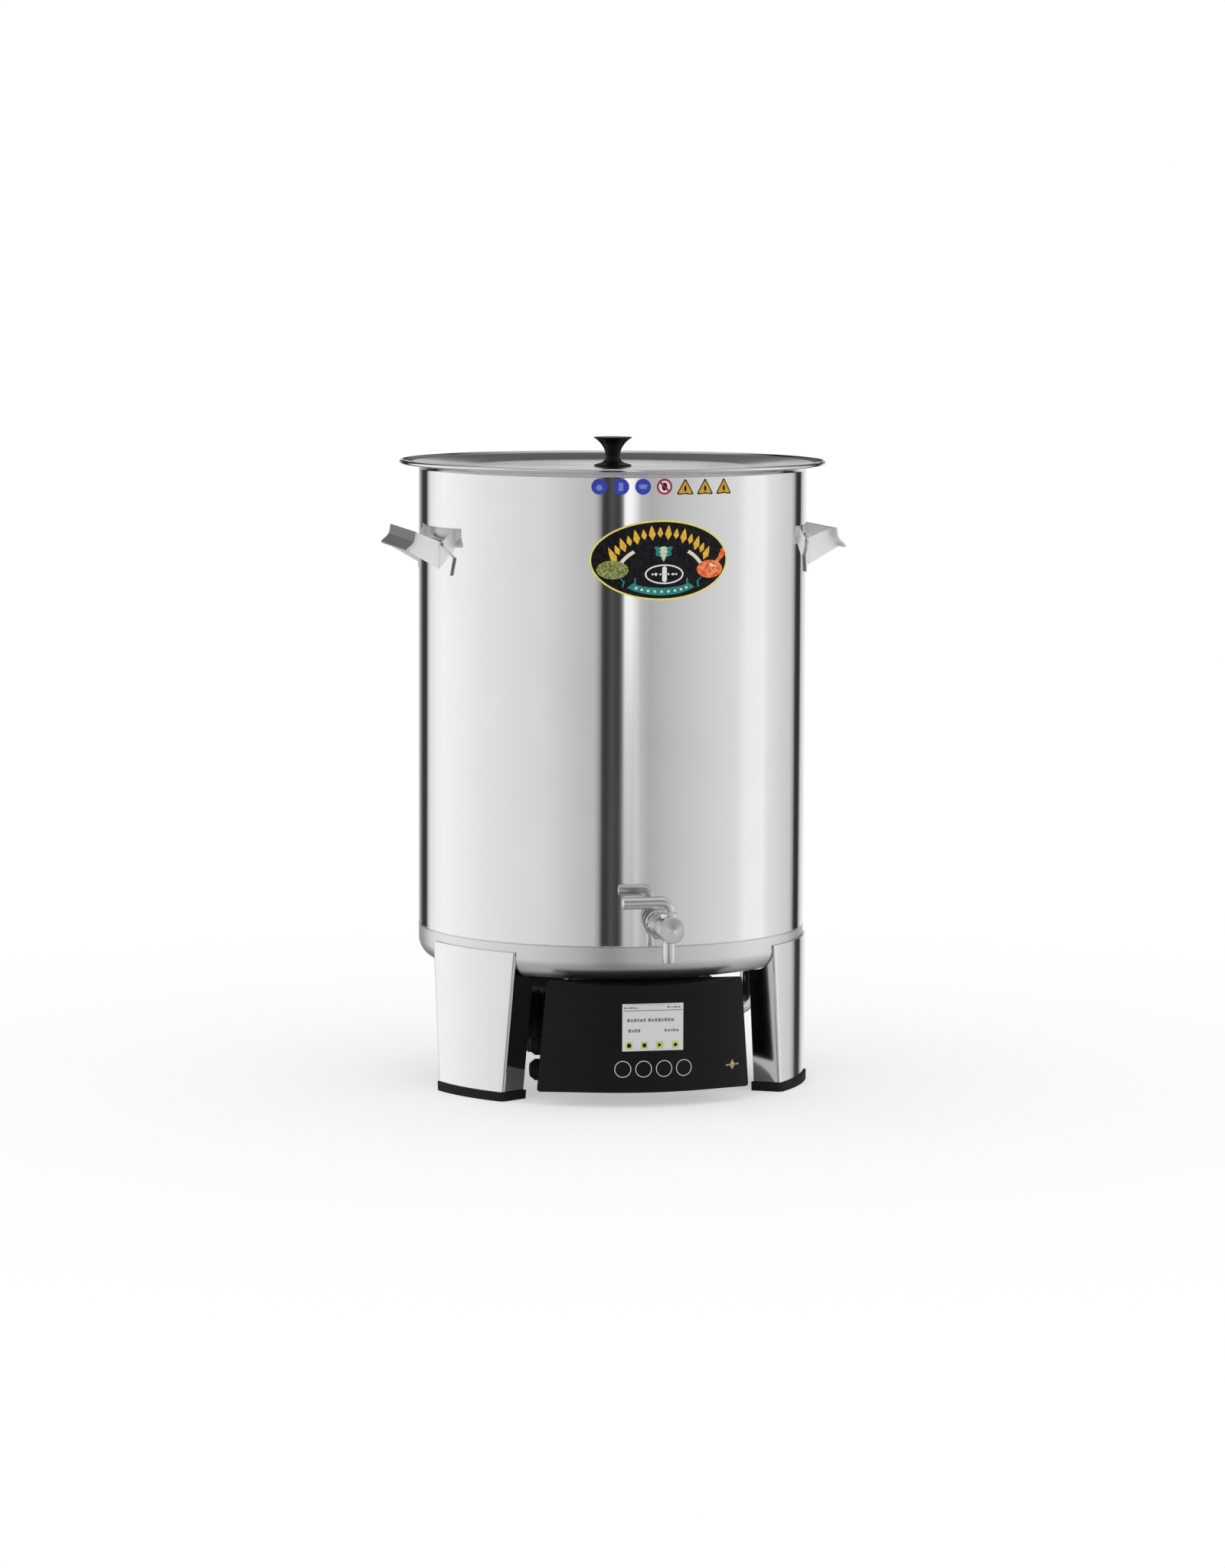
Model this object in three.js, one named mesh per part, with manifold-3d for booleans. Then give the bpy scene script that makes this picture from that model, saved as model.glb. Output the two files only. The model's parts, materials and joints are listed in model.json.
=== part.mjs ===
// Electric all-in-one brewer: a stainless kettle on three channel legs, with a lid, a malt pipe and
// its sieves, a heating coil, two circulation pumps, a draw-off tap and a control unit.
// Millimetres, +Z up, floor at z = 0. The object's front, with the tap and the display, faces -Y.
import * as THREE from 'three';
import { mergeVertices } from 'three/addons/utils/BufferGeometryUtils.js';
import Module from 'manifold-3d';

const wasm = await Module();
wasm.setup();

// ---- driving dimensions ----------------------------------------------------------------------
const GAP = 0.35;              // clearance between pieces that touch
const KETTLE_R = 200;          // outside of the kettle wall
const SHEET = 1.6;             // kettle sheet thickness
const BASE_Z = 127.5;          // underside of the kettle's flat bottom
const CORNER_R = 20;           // rounded corner between bottom and skirt
const SEAM_Z = 162.4;          // weld between the bottom pan and the wall
const WALL_TOP_Z = 634;        // where the wall starts to flare
const RIM_R = 220.5;           // outside of the rolled rim
const RIM_Z = 641.2;           // centre of the rolled edge
const BEAD_R = 2.1;            // radius of the rolled edge
const TAP_FACE_R = 262;        // how far the tap's end cap stands from the kettle axis
const AXIS_Y = (TAP_FACE_R - RIM_R) / 2;   // puts the origin under the middle of the object's box

const LEG_ANGLES = { left: -60, right: 60, back: 180 };   // degrees from the front
const LEG_TOP_Z = 152.8;
const LEG_HALF_TOP = 17.9;     // half the leg's wrap round the kettle, degrees
const LEG_HALF_BOTTOM = 13.8;
const LEG_R = 202.4;           // outside face of the leg sheet
const LEG_SHEET = 1.8;
const FLANGE_DEPTH = 28;
const FOOT_H = 9;
const FOOT_PROUD = 2.1;

const GRIP_HALF = 75;          // half the length of a handle's grip
const GRIP_TOP = { r: 220, z: 574.5 };
const GRIP_LIP = { r: 229.6, z: 557 };
const HANDLE_WALL = { r: 193, low: 536.5, high: 563.7 };
const HANDLE_PAD = { from: 16.8, to: 24.9, low: 529.5, high: 562 };
const HANDLE_TURN = 1.2;       // both handles sit this much behind the kettle's widest point
const HANDLE_SHEET = 2;
const CHEEK_HALF = 59.5;       // the grip reaches past the cheeks that carry it

const LID_EDGE_R = 208;
const LID_CENTRE_Z = 636.8;
const KNOB_TOP_Z = 666.5;

const TAP_Z = 187;             // height of the tap's body axis
const SPINDLE_R = 248;         // distance of the tap's spindle and spout from the kettle axis
const SPOUT_LOW_Z = 152.5;
const BARREL_R = 13.4;
const LEVER_Z = 213.5;
const LEVER_LEN = 48;
const LEVER_R = 6.1;

const PANEL_TURN = -2.3;       // the control unit sits slightly left of the middle, degrees
const PANEL_ARC = { r: 185, y: -22 };
const PANEL_Z = { low: 13.5, high: 127 };
const PANEL_HALF_TOP = 32.9;   // half angles of the panel about its own arc, degrees
const PANEL_HALF_BOTTOM = 36.3;
const PANEL_SHEET = 2.5;
const DISPLAY = { width: 63, low: 57.3, high: 105.6, angle: 1 };
const BUTTON = { r: 8.8, z: 39.3, pitch: 6.55, first: -8.6, count: 4, depth: 4 };
const HOUSING = { half: 84, back: -100, low: 20, high: 118, wall: 2.5 };
const MAINS_Z = 74;
const SOCKET_Z = [28, 54];
const CABLE = { x: 30, z: 44, r: 3 };        // where each pump's cable leaves the control unit

const LABEL = { turn: 0.7, half_width: 20.8, z: 551.6, half_height: 40 };   // widths in degrees

const PIPE_R = 150;            // malt pipe
const PIPE_LOW_Z = 142;
const PIPE_TOP_Z = 562;
const LEDGE_LOW_Z = 160;
const LEDGE_HIGH_Z = 498;
const ROD_R = 6;
const ROD_TOP_Z = 604;
const COIL_R = 166;
const COIL_Z = 148;
const COIL_TUBE_R = 4.25;
const COIL_ENDS = [82, 98];    // where the coil's two ends go down through the bottom, degrees from +X
const SENSOR = { turn: 60, r: 125, top: 150 };
const FLOOR_Z = BASE_Z + SHEET + GAP;        // the kettle's inside floor, with a clearance
const FINE_SCREEN = 0.8;
const SIEVE = 2;
const LOWER_SCREEN_Z = LEDGE_LOW_Z + SIEVE + 2 * GAP;
const UPPER_SCREEN_Z = LEDGE_HIGH_Z + GAP;
const UPPER_SIEVE_Z = UPPER_SCREEN_Z + FINE_SCREEN + GAP;
const BRACKET = { low: PIPE_TOP_Z + GAP, height: 14, half: PIPE_R + 6, half_width: 16, sheet: 2 };

const PUMP_TURNS = { right: 15, left: 165 };   // direction of each pump's axis, degrees from +X
const PUMP_Z = 62;
const PUMP_INLET_X = 166;
const PUMP_OUTLET_X = 102;
const PUMP_TUBE = { r: 9, bore: 7.2 };
const PUMP_PORT = { low: 29, high: 44 };     // the outlet stub above the pump's axis
const TUBE_TOP_Z = BASE_Z + 5;               // where the pumps' pipes end inside the kettle

const ROUND = 40;              // facets on the kettle
const MEDIUM = 32;
const SMALL = 16;
const TINY = 12;
const DEG = Math.PI / 180;

// ---- materials -------------------------------------------------------------------------------
const look = (color, roughness, metalness) => new THREE.MeshStandardMaterial({ color, roughness, metalness });
const polished = look(0xd9dadb, 0.12, 1);
const brushed = look(0xbfc1c3, 0.35, 1);
const turned = look(0xc9cacc, 0.22, 1);
const mesh_cloth = look(0xa9abad, 0.5, 1);
const black_metal = look(0x1c1c1d, 0.5, 0.2);
const black_plastic = look(0x141414, 0.4, 0);
const black_rubber = look(0x101010, 0.75, 0);
const silicone = look(0xd8d4cc, 0.6, 0);
const screen = look(0xc9cbc6, 0.25, 0);
const board_green = look(0x1f5a35, 0.6, 0);
const label_print = look(0x15130f, 0.35, 0);
const nickel = look(0x9a9b9c, 0.3, 1);

// ---- geometry helpers ------------------------------------------------------------------------

/** One closed shell with shared vertices, no collapsed triangles and its faces pointing out. */
function clean(geometry) {
  const bare = geometry.clone();
  bare.deleteAttribute('normal');
  bare.deleteAttribute('uv');
  bare.clearGroups();
  const merged = mergeVertices(bare, 1e-3);
  const at = merged.attributes.position;
  const index = merged.index.array;
  const kept = [];
  let volume = 0;
  const a = new THREE.Vector3();
  const b = new THREE.Vector3();
  const c = new THREE.Vector3();
  for (let i = 0; i < index.length; i += 3) {
    const [p, q, r] = [index[i], index[i + 1], index[i + 2]];
    if (p === q || q === r || r === p) continue;
    kept.push(p, q, r);
    a.fromBufferAttribute(at, p);
    b.fromBufferAttribute(at, q);
    c.fromBufferAttribute(at, r);
    volume += a.dot(b.cross(c));
  }
  if (volume < 0) kept.reverse();
  merged.setIndex(kept);
  return merged;
}

/** A solid for joining and cutting. */
function solid(geometry) {
  const shell = clean(geometry);
  return new wasm.Manifold(new wasm.Mesh({
    numProp: 3,
    vertProperties: new Float32Array(shell.attributes.position.array),
    triVerts: new Uint32Array(shell.index.array),
  }));
}

/** A solid's surface as a geometry. */
function surface(body) {
  const found = body.getMesh();
  const geometry = new THREE.BufferGeometry();
  geometry.setAttribute('position', new THREE.BufferAttribute(new Float32Array(found.vertProperties), 3));
  geometry.setIndex(Array.from(found.triVerts));
  return geometry;
}

const join = (...shapes) => surface(shapes.map(solid).reduce((sum, next) => sum.add(next)));
const cut = (shape, ...tools) => surface(tools.map(solid).reduce((rest, next) => rest.subtract(next), solid(shape)));

const points = list => list.map(([x, y]) => new THREE.Vector2(x, y));

/** A solid turned about Z from [radius, height] points. */
function turn(profile, facets = SMALL) {
  const closed = [...profile];
  const [first, last] = [profile[0], profile[profile.length - 1]];
  if (first[0] !== 0 || last[0] !== 0) closed.push(first);
  return new THREE.LatheGeometry(points(closed), facets).rotateX(Math.PI / 2);
}

/** A straight tube about Z. */
const tube = (r, bore, low, high, facets = SMALL) => turn([[bore, low], [r, low], [r, high], [bore, high]], facets);

/** A straight rod about Z. */
const rod = (r, low, high, facets = SMALL) => turn([[0, low], [r, low], [r, high], [0, high]], facets);

/** Lays a solid made about Z along -Y, so that its height becomes the distance in front of the axis. */
const face_front = geometry => geometry.rotateX(Math.PI / 2);

/** Lays a solid made about Z along +X. */
const face_right = geometry => geometry.rotateY(Math.PI / 2);

/** A box between two corners. */
function block([x0, y0, z0], [x1, y1, z1]) {
  const box = new THREE.BoxGeometry(x1 - x0, y1 - y0, z1 - z0);
  return box.translate((x0 + x1) / 2, (y0 + y1) / 2, (z0 + z1) / 2);
}

/** An outline of [x, y] points extruded from one height to another. */
function slab(outline, low, high) {
  const shape = new THREE.Shape(points(outline));
  const body = new THREE.ExtrudeGeometry(shape, { depth: high - low, bevelEnabled: false });
  return body.translate(0, 0, low);
}

/** Points of an arc about (0, y0) in plan, with angles in degrees from the front. */
function front_arc(r, from, to, steps, y0 = 0) {
  return Array.from({ length: steps + 1 }, (_, i) => {
    const angle = (from + ((to - from) * i) / steps) * DEG;
    return [r * Math.sin(angle), y0 - r * Math.cos(angle)];
  });
}

/** Points of an arc in a profile, with angles in degrees from the outward direction. */
function profile_arc(r0, z0, radius, from, to, steps) {
  return Array.from({ length: steps + 1 }, (_, i) => {
    const angle = (from + ((to - from) * i) / steps) * DEG;
    return [r0 + radius * Math.cos(angle), z0 + radius * Math.sin(angle)];
  });
}

/** A solid through outlines with the same number of points, each at its own height. */
function loft(levels) {
  const count = levels[0].outline.length;
  const position = levels.flatMap(level => level.outline.flatMap(([x, y]) => [x, y, level.z]));
  const index = [];
  for (let level = 0; level + 1 < levels.length; level += 1) {
    for (let i = 0; i < count; i += 1) {
      const a = level * count + i;
      const b = level * count + ((i + 1) % count);
      index.push(a, b, b + count, a, b + count, a + count);
    }
  }
  const top = (levels.length - 1) * count;
  const cap = outline => THREE.ShapeUtils.triangulateShape(points(outline), []);
  const clockwise = THREE.ShapeUtils.isClockWise(points(levels[0].outline));
  for (const [a, b, c] of cap(levels[0].outline)) {
    index.push(...(clockwise ? [a, b, c] : [a, c, b]));
  }
  for (const [a, b, c] of cap(levels[levels.length - 1].outline)) {
    index.push(...(clockwise ? [top + a, top + c, top + b] : [top + a, top + b, top + c]));
  }
  const geometry = new THREE.BufferGeometry();
  geometry.setAttribute('position', new THREE.Float32BufferAttribute(position, 3));
  geometry.setIndex(index);
  return geometry;
}

/** A round bar or tube swept along a smooth curve through the given points. */
function sweep(route, r, bore, steps, sides = 10) {
  const circle = radius => Array.from({ length: sides }, (_, i) => {
    const angle = (i / sides) * 2 * Math.PI;
    return [radius * Math.cos(angle), radius * Math.sin(angle)];
  });
  const shape = new THREE.Shape(points(circle(r)));
  if (bore > 0) shape.holes.push(new THREE.Path(points(circle(bore).reverse())));
  const path = new THREE.CatmullRomCurve3(route.map(p => new THREE.Vector3(...p)), false, 'centripetal');
  return new THREE.ExtrudeGeometry(shape, { steps, extrudePath: path, bevelEnabled: false });
}

/** Adds a named sub-part to a group. */
function piece(group, name, geometry, material) {
  const mesh = new THREE.Mesh(clean(geometry), material);
  mesh.geometry.computeVertexNormals();
  mesh.name = name;
  group.add(mesh);
  return mesh;
}

const brewer = new THREE.Group();
brewer.position.y = AXIS_Y;

// ---- kettle ----------------------------------------------------------------------------------

/** Places a geometry, made with its distance from the kettle axis along +X, at each given turn. */
const at_turn = (geometry, degrees) => geometry.clone().rotateZ(degrees * DEG);

/** The rounded outside of the kettle's bottom, grown by a clearance. */
function pan_outline(grow) {
  return [
    [0, BASE_Z - grow],
    ...profile_arc(KETTLE_R - CORNER_R, BASE_Z + CORNER_R, CORNER_R + grow, -90, 0, 5),
    [KETTLE_R + grow, SEAM_Z - GAP],
  ];
}

function kettle_base() {
  const inside_r = KETTLE_R - SHEET;
  const pan = turn([
    ...pan_outline(0),
    [inside_r, SEAM_Z - GAP],
    ...profile_arc(KETTLE_R - CORNER_R, BASE_Z + CORNER_R, CORNER_R - SHEET, 0, -90, 5),
    [0, BASE_Z + SHEET],
  ], ROUND);
  const hole = (r, x, degrees) => at_turn(rod(r, BASE_Z - 5, BASE_Z + 8, TINY).translate(x, 0, 0), degrees);
  const holes = Object.values(PUMP_TURNS).flatMap(degrees => [
    hole(PUMP_TUBE.r + 0.6, PUMP_INLET_X, degrees),
    hole(PUMP_TUBE.r + 0.6, PUMP_OUTLET_X, degrees),
  ]);
  const coil_holes = COIL_ENDS.map(degrees => hole(COIL_TUBE_R + 0.8, COIL_R, degrees));
  return cut(pan, ...holes, ...coil_holes, hole(3.8, SENSOR.r, SENSOR.turn));
}

function kettle_wall() {
  const inside_r = KETTLE_R - SHEET;
  const bead_x = RIM_R - BEAD_R;
  const wall = turn([
    [KETTLE_R, SEAM_Z],
    [KETTLE_R, WALL_TOP_Z],
    [KETTLE_R + 0.8, WALL_TOP_Z + 2.4],
    [KETTLE_R + 3, WALL_TOP_Z + 3.4],
    [bead_x - 1, RIM_Z - BEAD_R],
    ...profile_arc(bead_x, RIM_Z, BEAD_R, -90, 90, 4),
    [bead_x - BEAD_R, RIM_Z + 0.3],
    [KETTLE_R + 2.6, WALL_TOP_Z + 4.9],
    [KETTLE_R - 0.4, WALL_TOP_Z + 3.8],
    [inside_r, WALL_TOP_Z + 1.5],
    [inside_r, SEAM_Z],
  ], ROUND);
  const tap_hole = face_front(rod(7, KETTLE_R - 20, KETTLE_R + 20, TINY)).translate(0, 0, TAP_Z);
  return cut(wall, tap_hole);
}

// ---- legs and feet ---------------------------------------------------------------------------

/** The U-shaped section of a leg that faces the front, grown on every side by a margin. */
function channel(half, grow = 0) {
  const outer_r = LEG_R + grow;
  const inner_r = LEG_R - LEG_SHEET - grow;
  const side_x = LEG_R * Math.sin(half * DEG) + grow;
  const inside_x = side_x - LEG_SHEET - 2 * grow;
  const outer_half = Math.asin(side_x / outer_r) / DEG;
  const inner_half = Math.asin(inside_x / inner_r) / DEG;
  const end_y = -LEG_R * Math.cos(half * DEG) + FLANGE_DEPTH + grow;
  return [
    ...front_arc(outer_r, -outer_half, outer_half, 8),
    [side_x, end_y],
    [inside_x, end_y],
    ...front_arc(inner_r, inner_half, -inner_half, 8),
    [-inside_x, end_y],
    [-side_x, end_y],
  ];
}

/** Half the leg's wrap at a height, in degrees. */
const leg_half = z => LEG_HALF_BOTTOM + ((LEG_HALF_TOP - LEG_HALF_BOTTOM) * z) / LEG_TOP_Z;

/** The leg's channel between two heights. */
const leg_stretch = (low, high, grow) => loft([low, high].map(z => ({ z, outline: channel(leg_half(z), grow) })));

function leg() {
  const room_for_pan = turn([...pan_outline(GAP + 0.25), [0, SEAM_Z]], ROUND);
  return cut(leg_stretch(2, LEG_TOP_Z, 0), room_for_pan);
}

const foot = () => cut(leg_stretch(0, FOOT_H, FOOT_PROUD), leg_stretch(2 - GAP, FOOT_H + 5, GAP));

// ---- handles ---------------------------------------------------------------------------------

/** A handle on the +X side: two welded pads, two cheeks and a grip that is hollow to the outside. */
function handle() {
  const { r: top_r, z: top_z } = GRIP_TOP;
  const { r: lip_r, z: lip_z } = GRIP_LIP;
  const sag = { r: (top_r + lip_r) / 2 - 2.6, z: (top_z + lip_z) / 2 - 1.4 };
  const bow = new THREE.SplineCurve(points([[top_r, top_z], [sag.r, sag.z], [lip_r, lip_z]])).getPoints(6);
  const outer = bow.map(p => [p.x, p.y]);
  const inner = outer.map(([r, z]) => [r - HANDLE_SHEET * 0.92, z - HANDLE_SHEET * 0.5]).reverse();
  const upright = geometry => geometry.rotateX(Math.PI / 2);
  const across = (outline, from, to) => upright(slab(outline, -to, -from));
  const grip = across([...outer, ...inner], -GRIP_HALF, GRIP_HALF);
  const lip = across(profile_arc(lip_r - 1.7, lip_z - 0.9, 1.9, 0, 330, 11), -GRIP_HALF, GRIP_HALF);
  const in_r = KETTLE_R - 25;
  const low_rise = (HANDLE_WALL.low - lip_z) / (HANDLE_WALL.r - lip_r);
  const high_rise = (HANDLE_WALL.high - top_z) / (HANDLE_WALL.r - top_r);
  const cheek_outline = [
    [in_r, lip_z - 1 + low_rise * (in_r - lip_r)],
    [lip_r - 1, lip_z - 1],
    ...outer.slice().reverse(),
    [in_r, top_z + high_rise * (in_r - top_r)],
  ];
  const cheeks = [-1, 1].map(side => {
    const edges = [side * CHEEK_HALF, side * (CHEEK_HALF - HANDLE_SHEET)];
    return across(cheek_outline, Math.min(...edges), Math.max(...edges));
  });
  const pads = [-1, 1].map(side => {
    const from = side * HANDLE_PAD.from;
    const to = side * HANDLE_PAD.to;
    const ring = [
      ...front_arc(KETTLE_R + GAP + HANDLE_SHEET, from, to, 3),
      ...front_arc(KETTLE_R + GAP, to, from, 3),
    ];
    const { low, high } = HANDLE_PAD;
    const pad = slab(ring, low, high).rotateZ(Math.PI / 2);
    const clip = upright(slab([
      [79.5, low - 1],
      [85.5, high - 14],
      [60, high],
      [40, high],
      [40, low - 1],
    ], 150, 220)).rotateZ(Math.PI / 2);
    const near = side > 0 ? clip : clip.clone().scale(1, -1, 1);
    return surface(solid(pad).intersect(solid(near)));
  });
  const wall_room = rod(KETTLE_R + GAP + 0.1, 400, 640, ROUND);
  return cut(join(grip, lip, ...cheeks, ...pads), wall_room);
}

// ---- lid -------------------------------------------------------------------------------------

function lid() {
  const seat_z = RIM_Z - 0.9;
  const sheet = 1.1;
  return turn([
    [2.9, LID_CENTRE_Z],
    [150, LID_CENTRE_Z + 0.8],
    [194, LID_CENTRE_Z + 3],
    [206, seat_z + sheet],
    [LID_EDGE_R, seat_z + 0.9],
    [LID_EDGE_R, seat_z],
    [206, seat_z - 0.1],
    [196.4, LID_CENTRE_Z + 2.1],
    [196.4, LID_CENTRE_Z - 7],
    [195.2, LID_CENTRE_Z - 7],
    [195.2, LID_CENTRE_Z + 1.8],
    [150, LID_CENTRE_Z - 0.4],
    [2.9, LID_CENTRE_Z - 1.2],
  ], MEDIUM);
}

function lid_knob() {
  const base = LID_CENTRE_Z + GAP;
  return turn([
    [0, base + 16],
    [2.7, base + 16],
    [2.7, base],
    [19.4, base],
    [19.7, base + 0.7],
    [15.8, base + 1.8],
    [11.3, base + 3.3],
    [8.4, base + 5.8],
    [7.5, base + 9],
    [7.8, base + 12.4],
    [8.6, base + 16],
    [10.4, base + 19.6],
    [13.2, base + 23.4],
    [17.4, base + 27.3],
    [19.8, KNOB_TOP_Z - 0.8],
    [19.5, KNOB_TOP_Z],
    [0, KNOB_TOP_Z],
  ], SMALL);
}

function lid_screw() {
  const head_z = LID_CENTRE_Z - 1.2 - GAP;
  return turn([
    [0, head_z - 3],
    [4, head_z - 3],
    [5, head_z - 1.5],
    [5, head_z],
    [2.3, head_z],
    [2.3, LID_CENTRE_Z + 14],
    [0, LID_CENTRE_Z + 14],
  ], TINY);
}

// ---- inside the kettle -----------------------------------------------------------------------

const centre_rod = () => turn([
  [0, FLOOR_Z],
  [15, FLOOR_Z],
  [15, FLOOR_Z + 2.5],
  [9, FLOOR_Z + 4],
  [ROD_R, FLOOR_Z + 7],
  [ROD_R, ROD_TOP_Z - 1.5],
  [ROD_R - 1.5, ROD_TOP_Z],
  [0, ROD_TOP_Z],
], TINY);

function malt_pipe() {
  const inside = PIPE_R - 1.5;
  const body = turn([
    [PIPE_R, PIPE_LOW_Z],
    [PIPE_R, PIPE_TOP_Z - 3],
    [PIPE_R + 3.2, PIPE_TOP_Z - 2.6],
    [PIPE_R + 4, PIPE_TOP_Z - 1],
    [PIPE_R + 2.6, PIPE_TOP_Z],
    [inside, PIPE_TOP_Z],
    [inside, LEDGE_HIGH_Z],
    [inside - 2.2, LEDGE_HIGH_Z],
    [inside - 2.2, LEDGE_HIGH_Z - 1.5],
    [inside, LEDGE_HIGH_Z - 3.5],
    [inside, LEDGE_LOW_Z],
    [inside - 9, LEDGE_LOW_Z],
    [inside - 9, LEDGE_LOW_Z - 2],
    [inside, LEDGE_LOW_Z - 2],
    [inside, PIPE_LOW_Z],
  ], MEDIUM);
  const lifting_hole = face_right(rod(6, -PIPE_R - 20, PIPE_R + 20, TINY)).translate(0, 0, PIPE_TOP_Z - 26);
  return cut(body, lifting_hole);
}

const malt_pipe_seal = () => tube(PIPE_R + 2.4, PIPE_R - 4, FLOOR_Z, PIPE_LOW_Z - GAP, MEDIUM);
const sieve_disc = (r, low, thick) => tube(r, ROD_R + 1, low, low + thick, MEDIUM);

/** An upturned channel across the malt pipe, with a tube that presses on the upper sieve. */
function hold_down_bracket() {
  const { low, height, half, half_width: wide, sheet } = BRACKET;
  const high = low + height;
  const bar = block([-half, -wide, low], [half, wide, high]);
  const room = block([-half - 1, sheet - wide, low - 1], [half + 1, wide - sheet, high - sheet]);
  const press_tube = tube(12, ROD_R + 1, UPPER_SIEVE_Z + SIEVE + GAP, high - 1, SMALL);
  const bore = rod(ROD_R + 1, UPPER_SIEVE_Z, high + 1, SMALL);
  return cut(join(cut(bar, room), press_tube), bore);
}

function wing_nut() {
  const low = BRACKET.low + BRACKET.height + GAP;
  const hub = tube(12, ROD_R + 0.6, low, low + 15, TINY);
  const wing = side => face_front(slab([
    [side * 9, low + 3],
    [side * 20, low + 6],
    [side * 33, low + 17],
    [side * 36, low + 24],
    [side * 30, low + 27],
    [side * 22, low + 21],
    [side * 9, low + 14],
  ], -2.5, 2.5));
  return cut(join(hub, wing(-1), wing(1)), rod(ROD_R + 0.6, low - 1, low + 30, TINY));
}

function heating_coil() {
  const at = (degrees, z) => [COIL_R * Math.cos(degrees * DEG), COIL_R * Math.sin(degrees * DEG), z];
  const [first, last] = COIL_ENDS;
  const span = 360 - (last - first) - 8;
  const turns = Array.from({ length: 33 }, (_, i) => at(last + 4 + (span * i) / 32, COIL_Z));
  const route = [
    at(last, 116),
    at(last, 130),
    at(last + 0.3, COIL_Z - 6),
    ...turns,
    at(first - 0.3, COIL_Z - 6),
    at(first, 130),
    at(first, 116),
  ];
  return sweep(route, COIL_TUBE_R, 0, 56, 6);
}

function hex_nut(across_flats, bore, low, high) {
  const r = across_flats / 2 / Math.cos(30 * DEG);
  return cut(rod(r, low, high, 6), rod(bore, low - 1, high + 1, TINY));
}

/** The plate under the bottom that both ends of the coil are screwed into. */
function heater_flange() {
  const low = BASE_Z - GAP - 3;
  const middle = (COIL_ENDS[0] + COIL_ENDS[1]) / 2;
  const plate = at_turn(block([COIL_R - 12, -34, low], [COIL_R + 12, 34, low + 3]), middle);
  const hexes = COIL_ENDS.map(degrees => at_turn(rod(10, 120, low + 1, 6).translate(COIL_R, 0, 0), degrees));
  const bores = COIL_ENDS.map(degrees => at_turn(
    rod(COIL_TUBE_R + 0.6, 110, BASE_Z + 5, TINY).translate(COIL_R, 0, 0), degrees));
  return cut(join(plate, ...hexes), ...bores);
}

function temperature_sensor() {
  const probe = turn([
    [0, 108],
    [4, 108],
    [4, 118],
    [8, 118],
    [8, BASE_Z - GAP],
    [3, BASE_Z - GAP],
    [3, SENSOR.top - 2],
    [1.5, SENSOR.top],
    [0, SENSOR.top],
  ], TINY);
  return at_turn(probe.translate(SENSOR.r, 0, 0), SENSOR.turn);
}

// ---- pumps -----------------------------------------------------------------------------------
// Each pump lies under the kettle with its axis along its own +X: motor inside, inlet outside.

const pump_axis = geometry => face_right(geometry).translate(0, 0, PUMP_Z);

function pump_motor() {
  const ribs = [46, 58, 70].flatMap(x => [[27, x], [24.5, x + 0.5], [24.5, x + 3.5], [27, x + 4]]);
  return pump_axis(turn([[0, 32], [22, 32], [27, 36], ...ribs, [27, 92], [0, 92]], SMALL));
}

function pump_volute() {
  const cup = pump_axis(turn([
    [0, 92.35],
    [33, 92.35],
    [33, 112],
    [28, 112],
    [28, 96],
    [2, 96],
    [2, 110],
    [0, 110],
  ], SMALL));
  const { low, high } = PUMP_PORT;
  const stub = rod(PUMP_TUBE.r, PUMP_Z + low, PUMP_Z + high, TINY).translate(PUMP_OUTLET_X, 0, 0);
  const bore = rod(PUMP_TUBE.bore, PUMP_Z + low - 5, PUMP_Z + high + 5, TINY).translate(PUMP_OUTLET_X, 0, 0);
  return cut(join(cup, stub), bore);
}

const pump_cover = () => pump_axis(turn([
  [7, 112.35],
  [33, 112.35],
  [33, 115],
  [31, 116.5],
  [11, 116.5],
  [11, 130],
  [7, 130],
], SMALL));

function pump_impeller() {
  const plate = tube(24, 2.4, 98, 100, SMALL);
  const hub = tube(6, 2.4, 98, 108, SMALL);
  const vane = block([5, -1, 99], [23, 1, 107]);
  const vanes = Array.from({ length: 6 }, (_, i) => at_turn(vane, i * 60));
  return pump_axis(join(plate, hub, ...vanes));
}

/** A ribbed plastic union nut about Z. */
function union_nut(bore, low, high) {
  const rim = Array.from({ length: 24 }, (_, i) => {
    const r = i % 2 ? 15 : 17;
    return [r * Math.cos(i * 15 * DEG), r * Math.sin(i * 15 * DEG)];
  });
  return cut(slab(rim, low, high), rod(bore, low - 1, high + 1, TINY));
}

const pump_union_nut = () => pump_axis(union_nut(11.6, 121, 137));

function pump_inlet_elbow() {
  const bend = 14;
  const corner = [0, 30, 60, 90].map(degrees => [
    PUMP_INLET_X - bend + bend * Math.sin(degrees * DEG),
    0,
    PUMP_Z + bend - bend * Math.cos(degrees * DEG),
  ]);
  return sweep([
    [130 + GAP, 0, PUMP_Z],
    [140, 0, PUMP_Z],
    ...corner,
    [PUMP_INLET_X, 0, 105],
    [PUMP_INLET_X, 0, TUBE_TOP_Z],
  ], PUMP_TUBE.r, PUMP_TUBE.bore, 12, 10);
}

/** The short pipe up into the kettle, with the collar that screws onto the pump's outlet. */
function pump_outlet_pipe() {
  const low = PUMP_Z + PUMP_PORT.high + GAP;
  const pipe = rod(PUMP_TUBE.r, low, TUBE_TOP_Z, TINY);
  const collar = rod(13.5, low, low + 15, 8);
  const bore = rod(PUMP_TUBE.bore, low - 1, TUBE_TOP_Z + 1, TINY);
  return cut(join(pipe, collar), bore).translate(PUMP_OUTLET_X, 0, 0);
}

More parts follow.
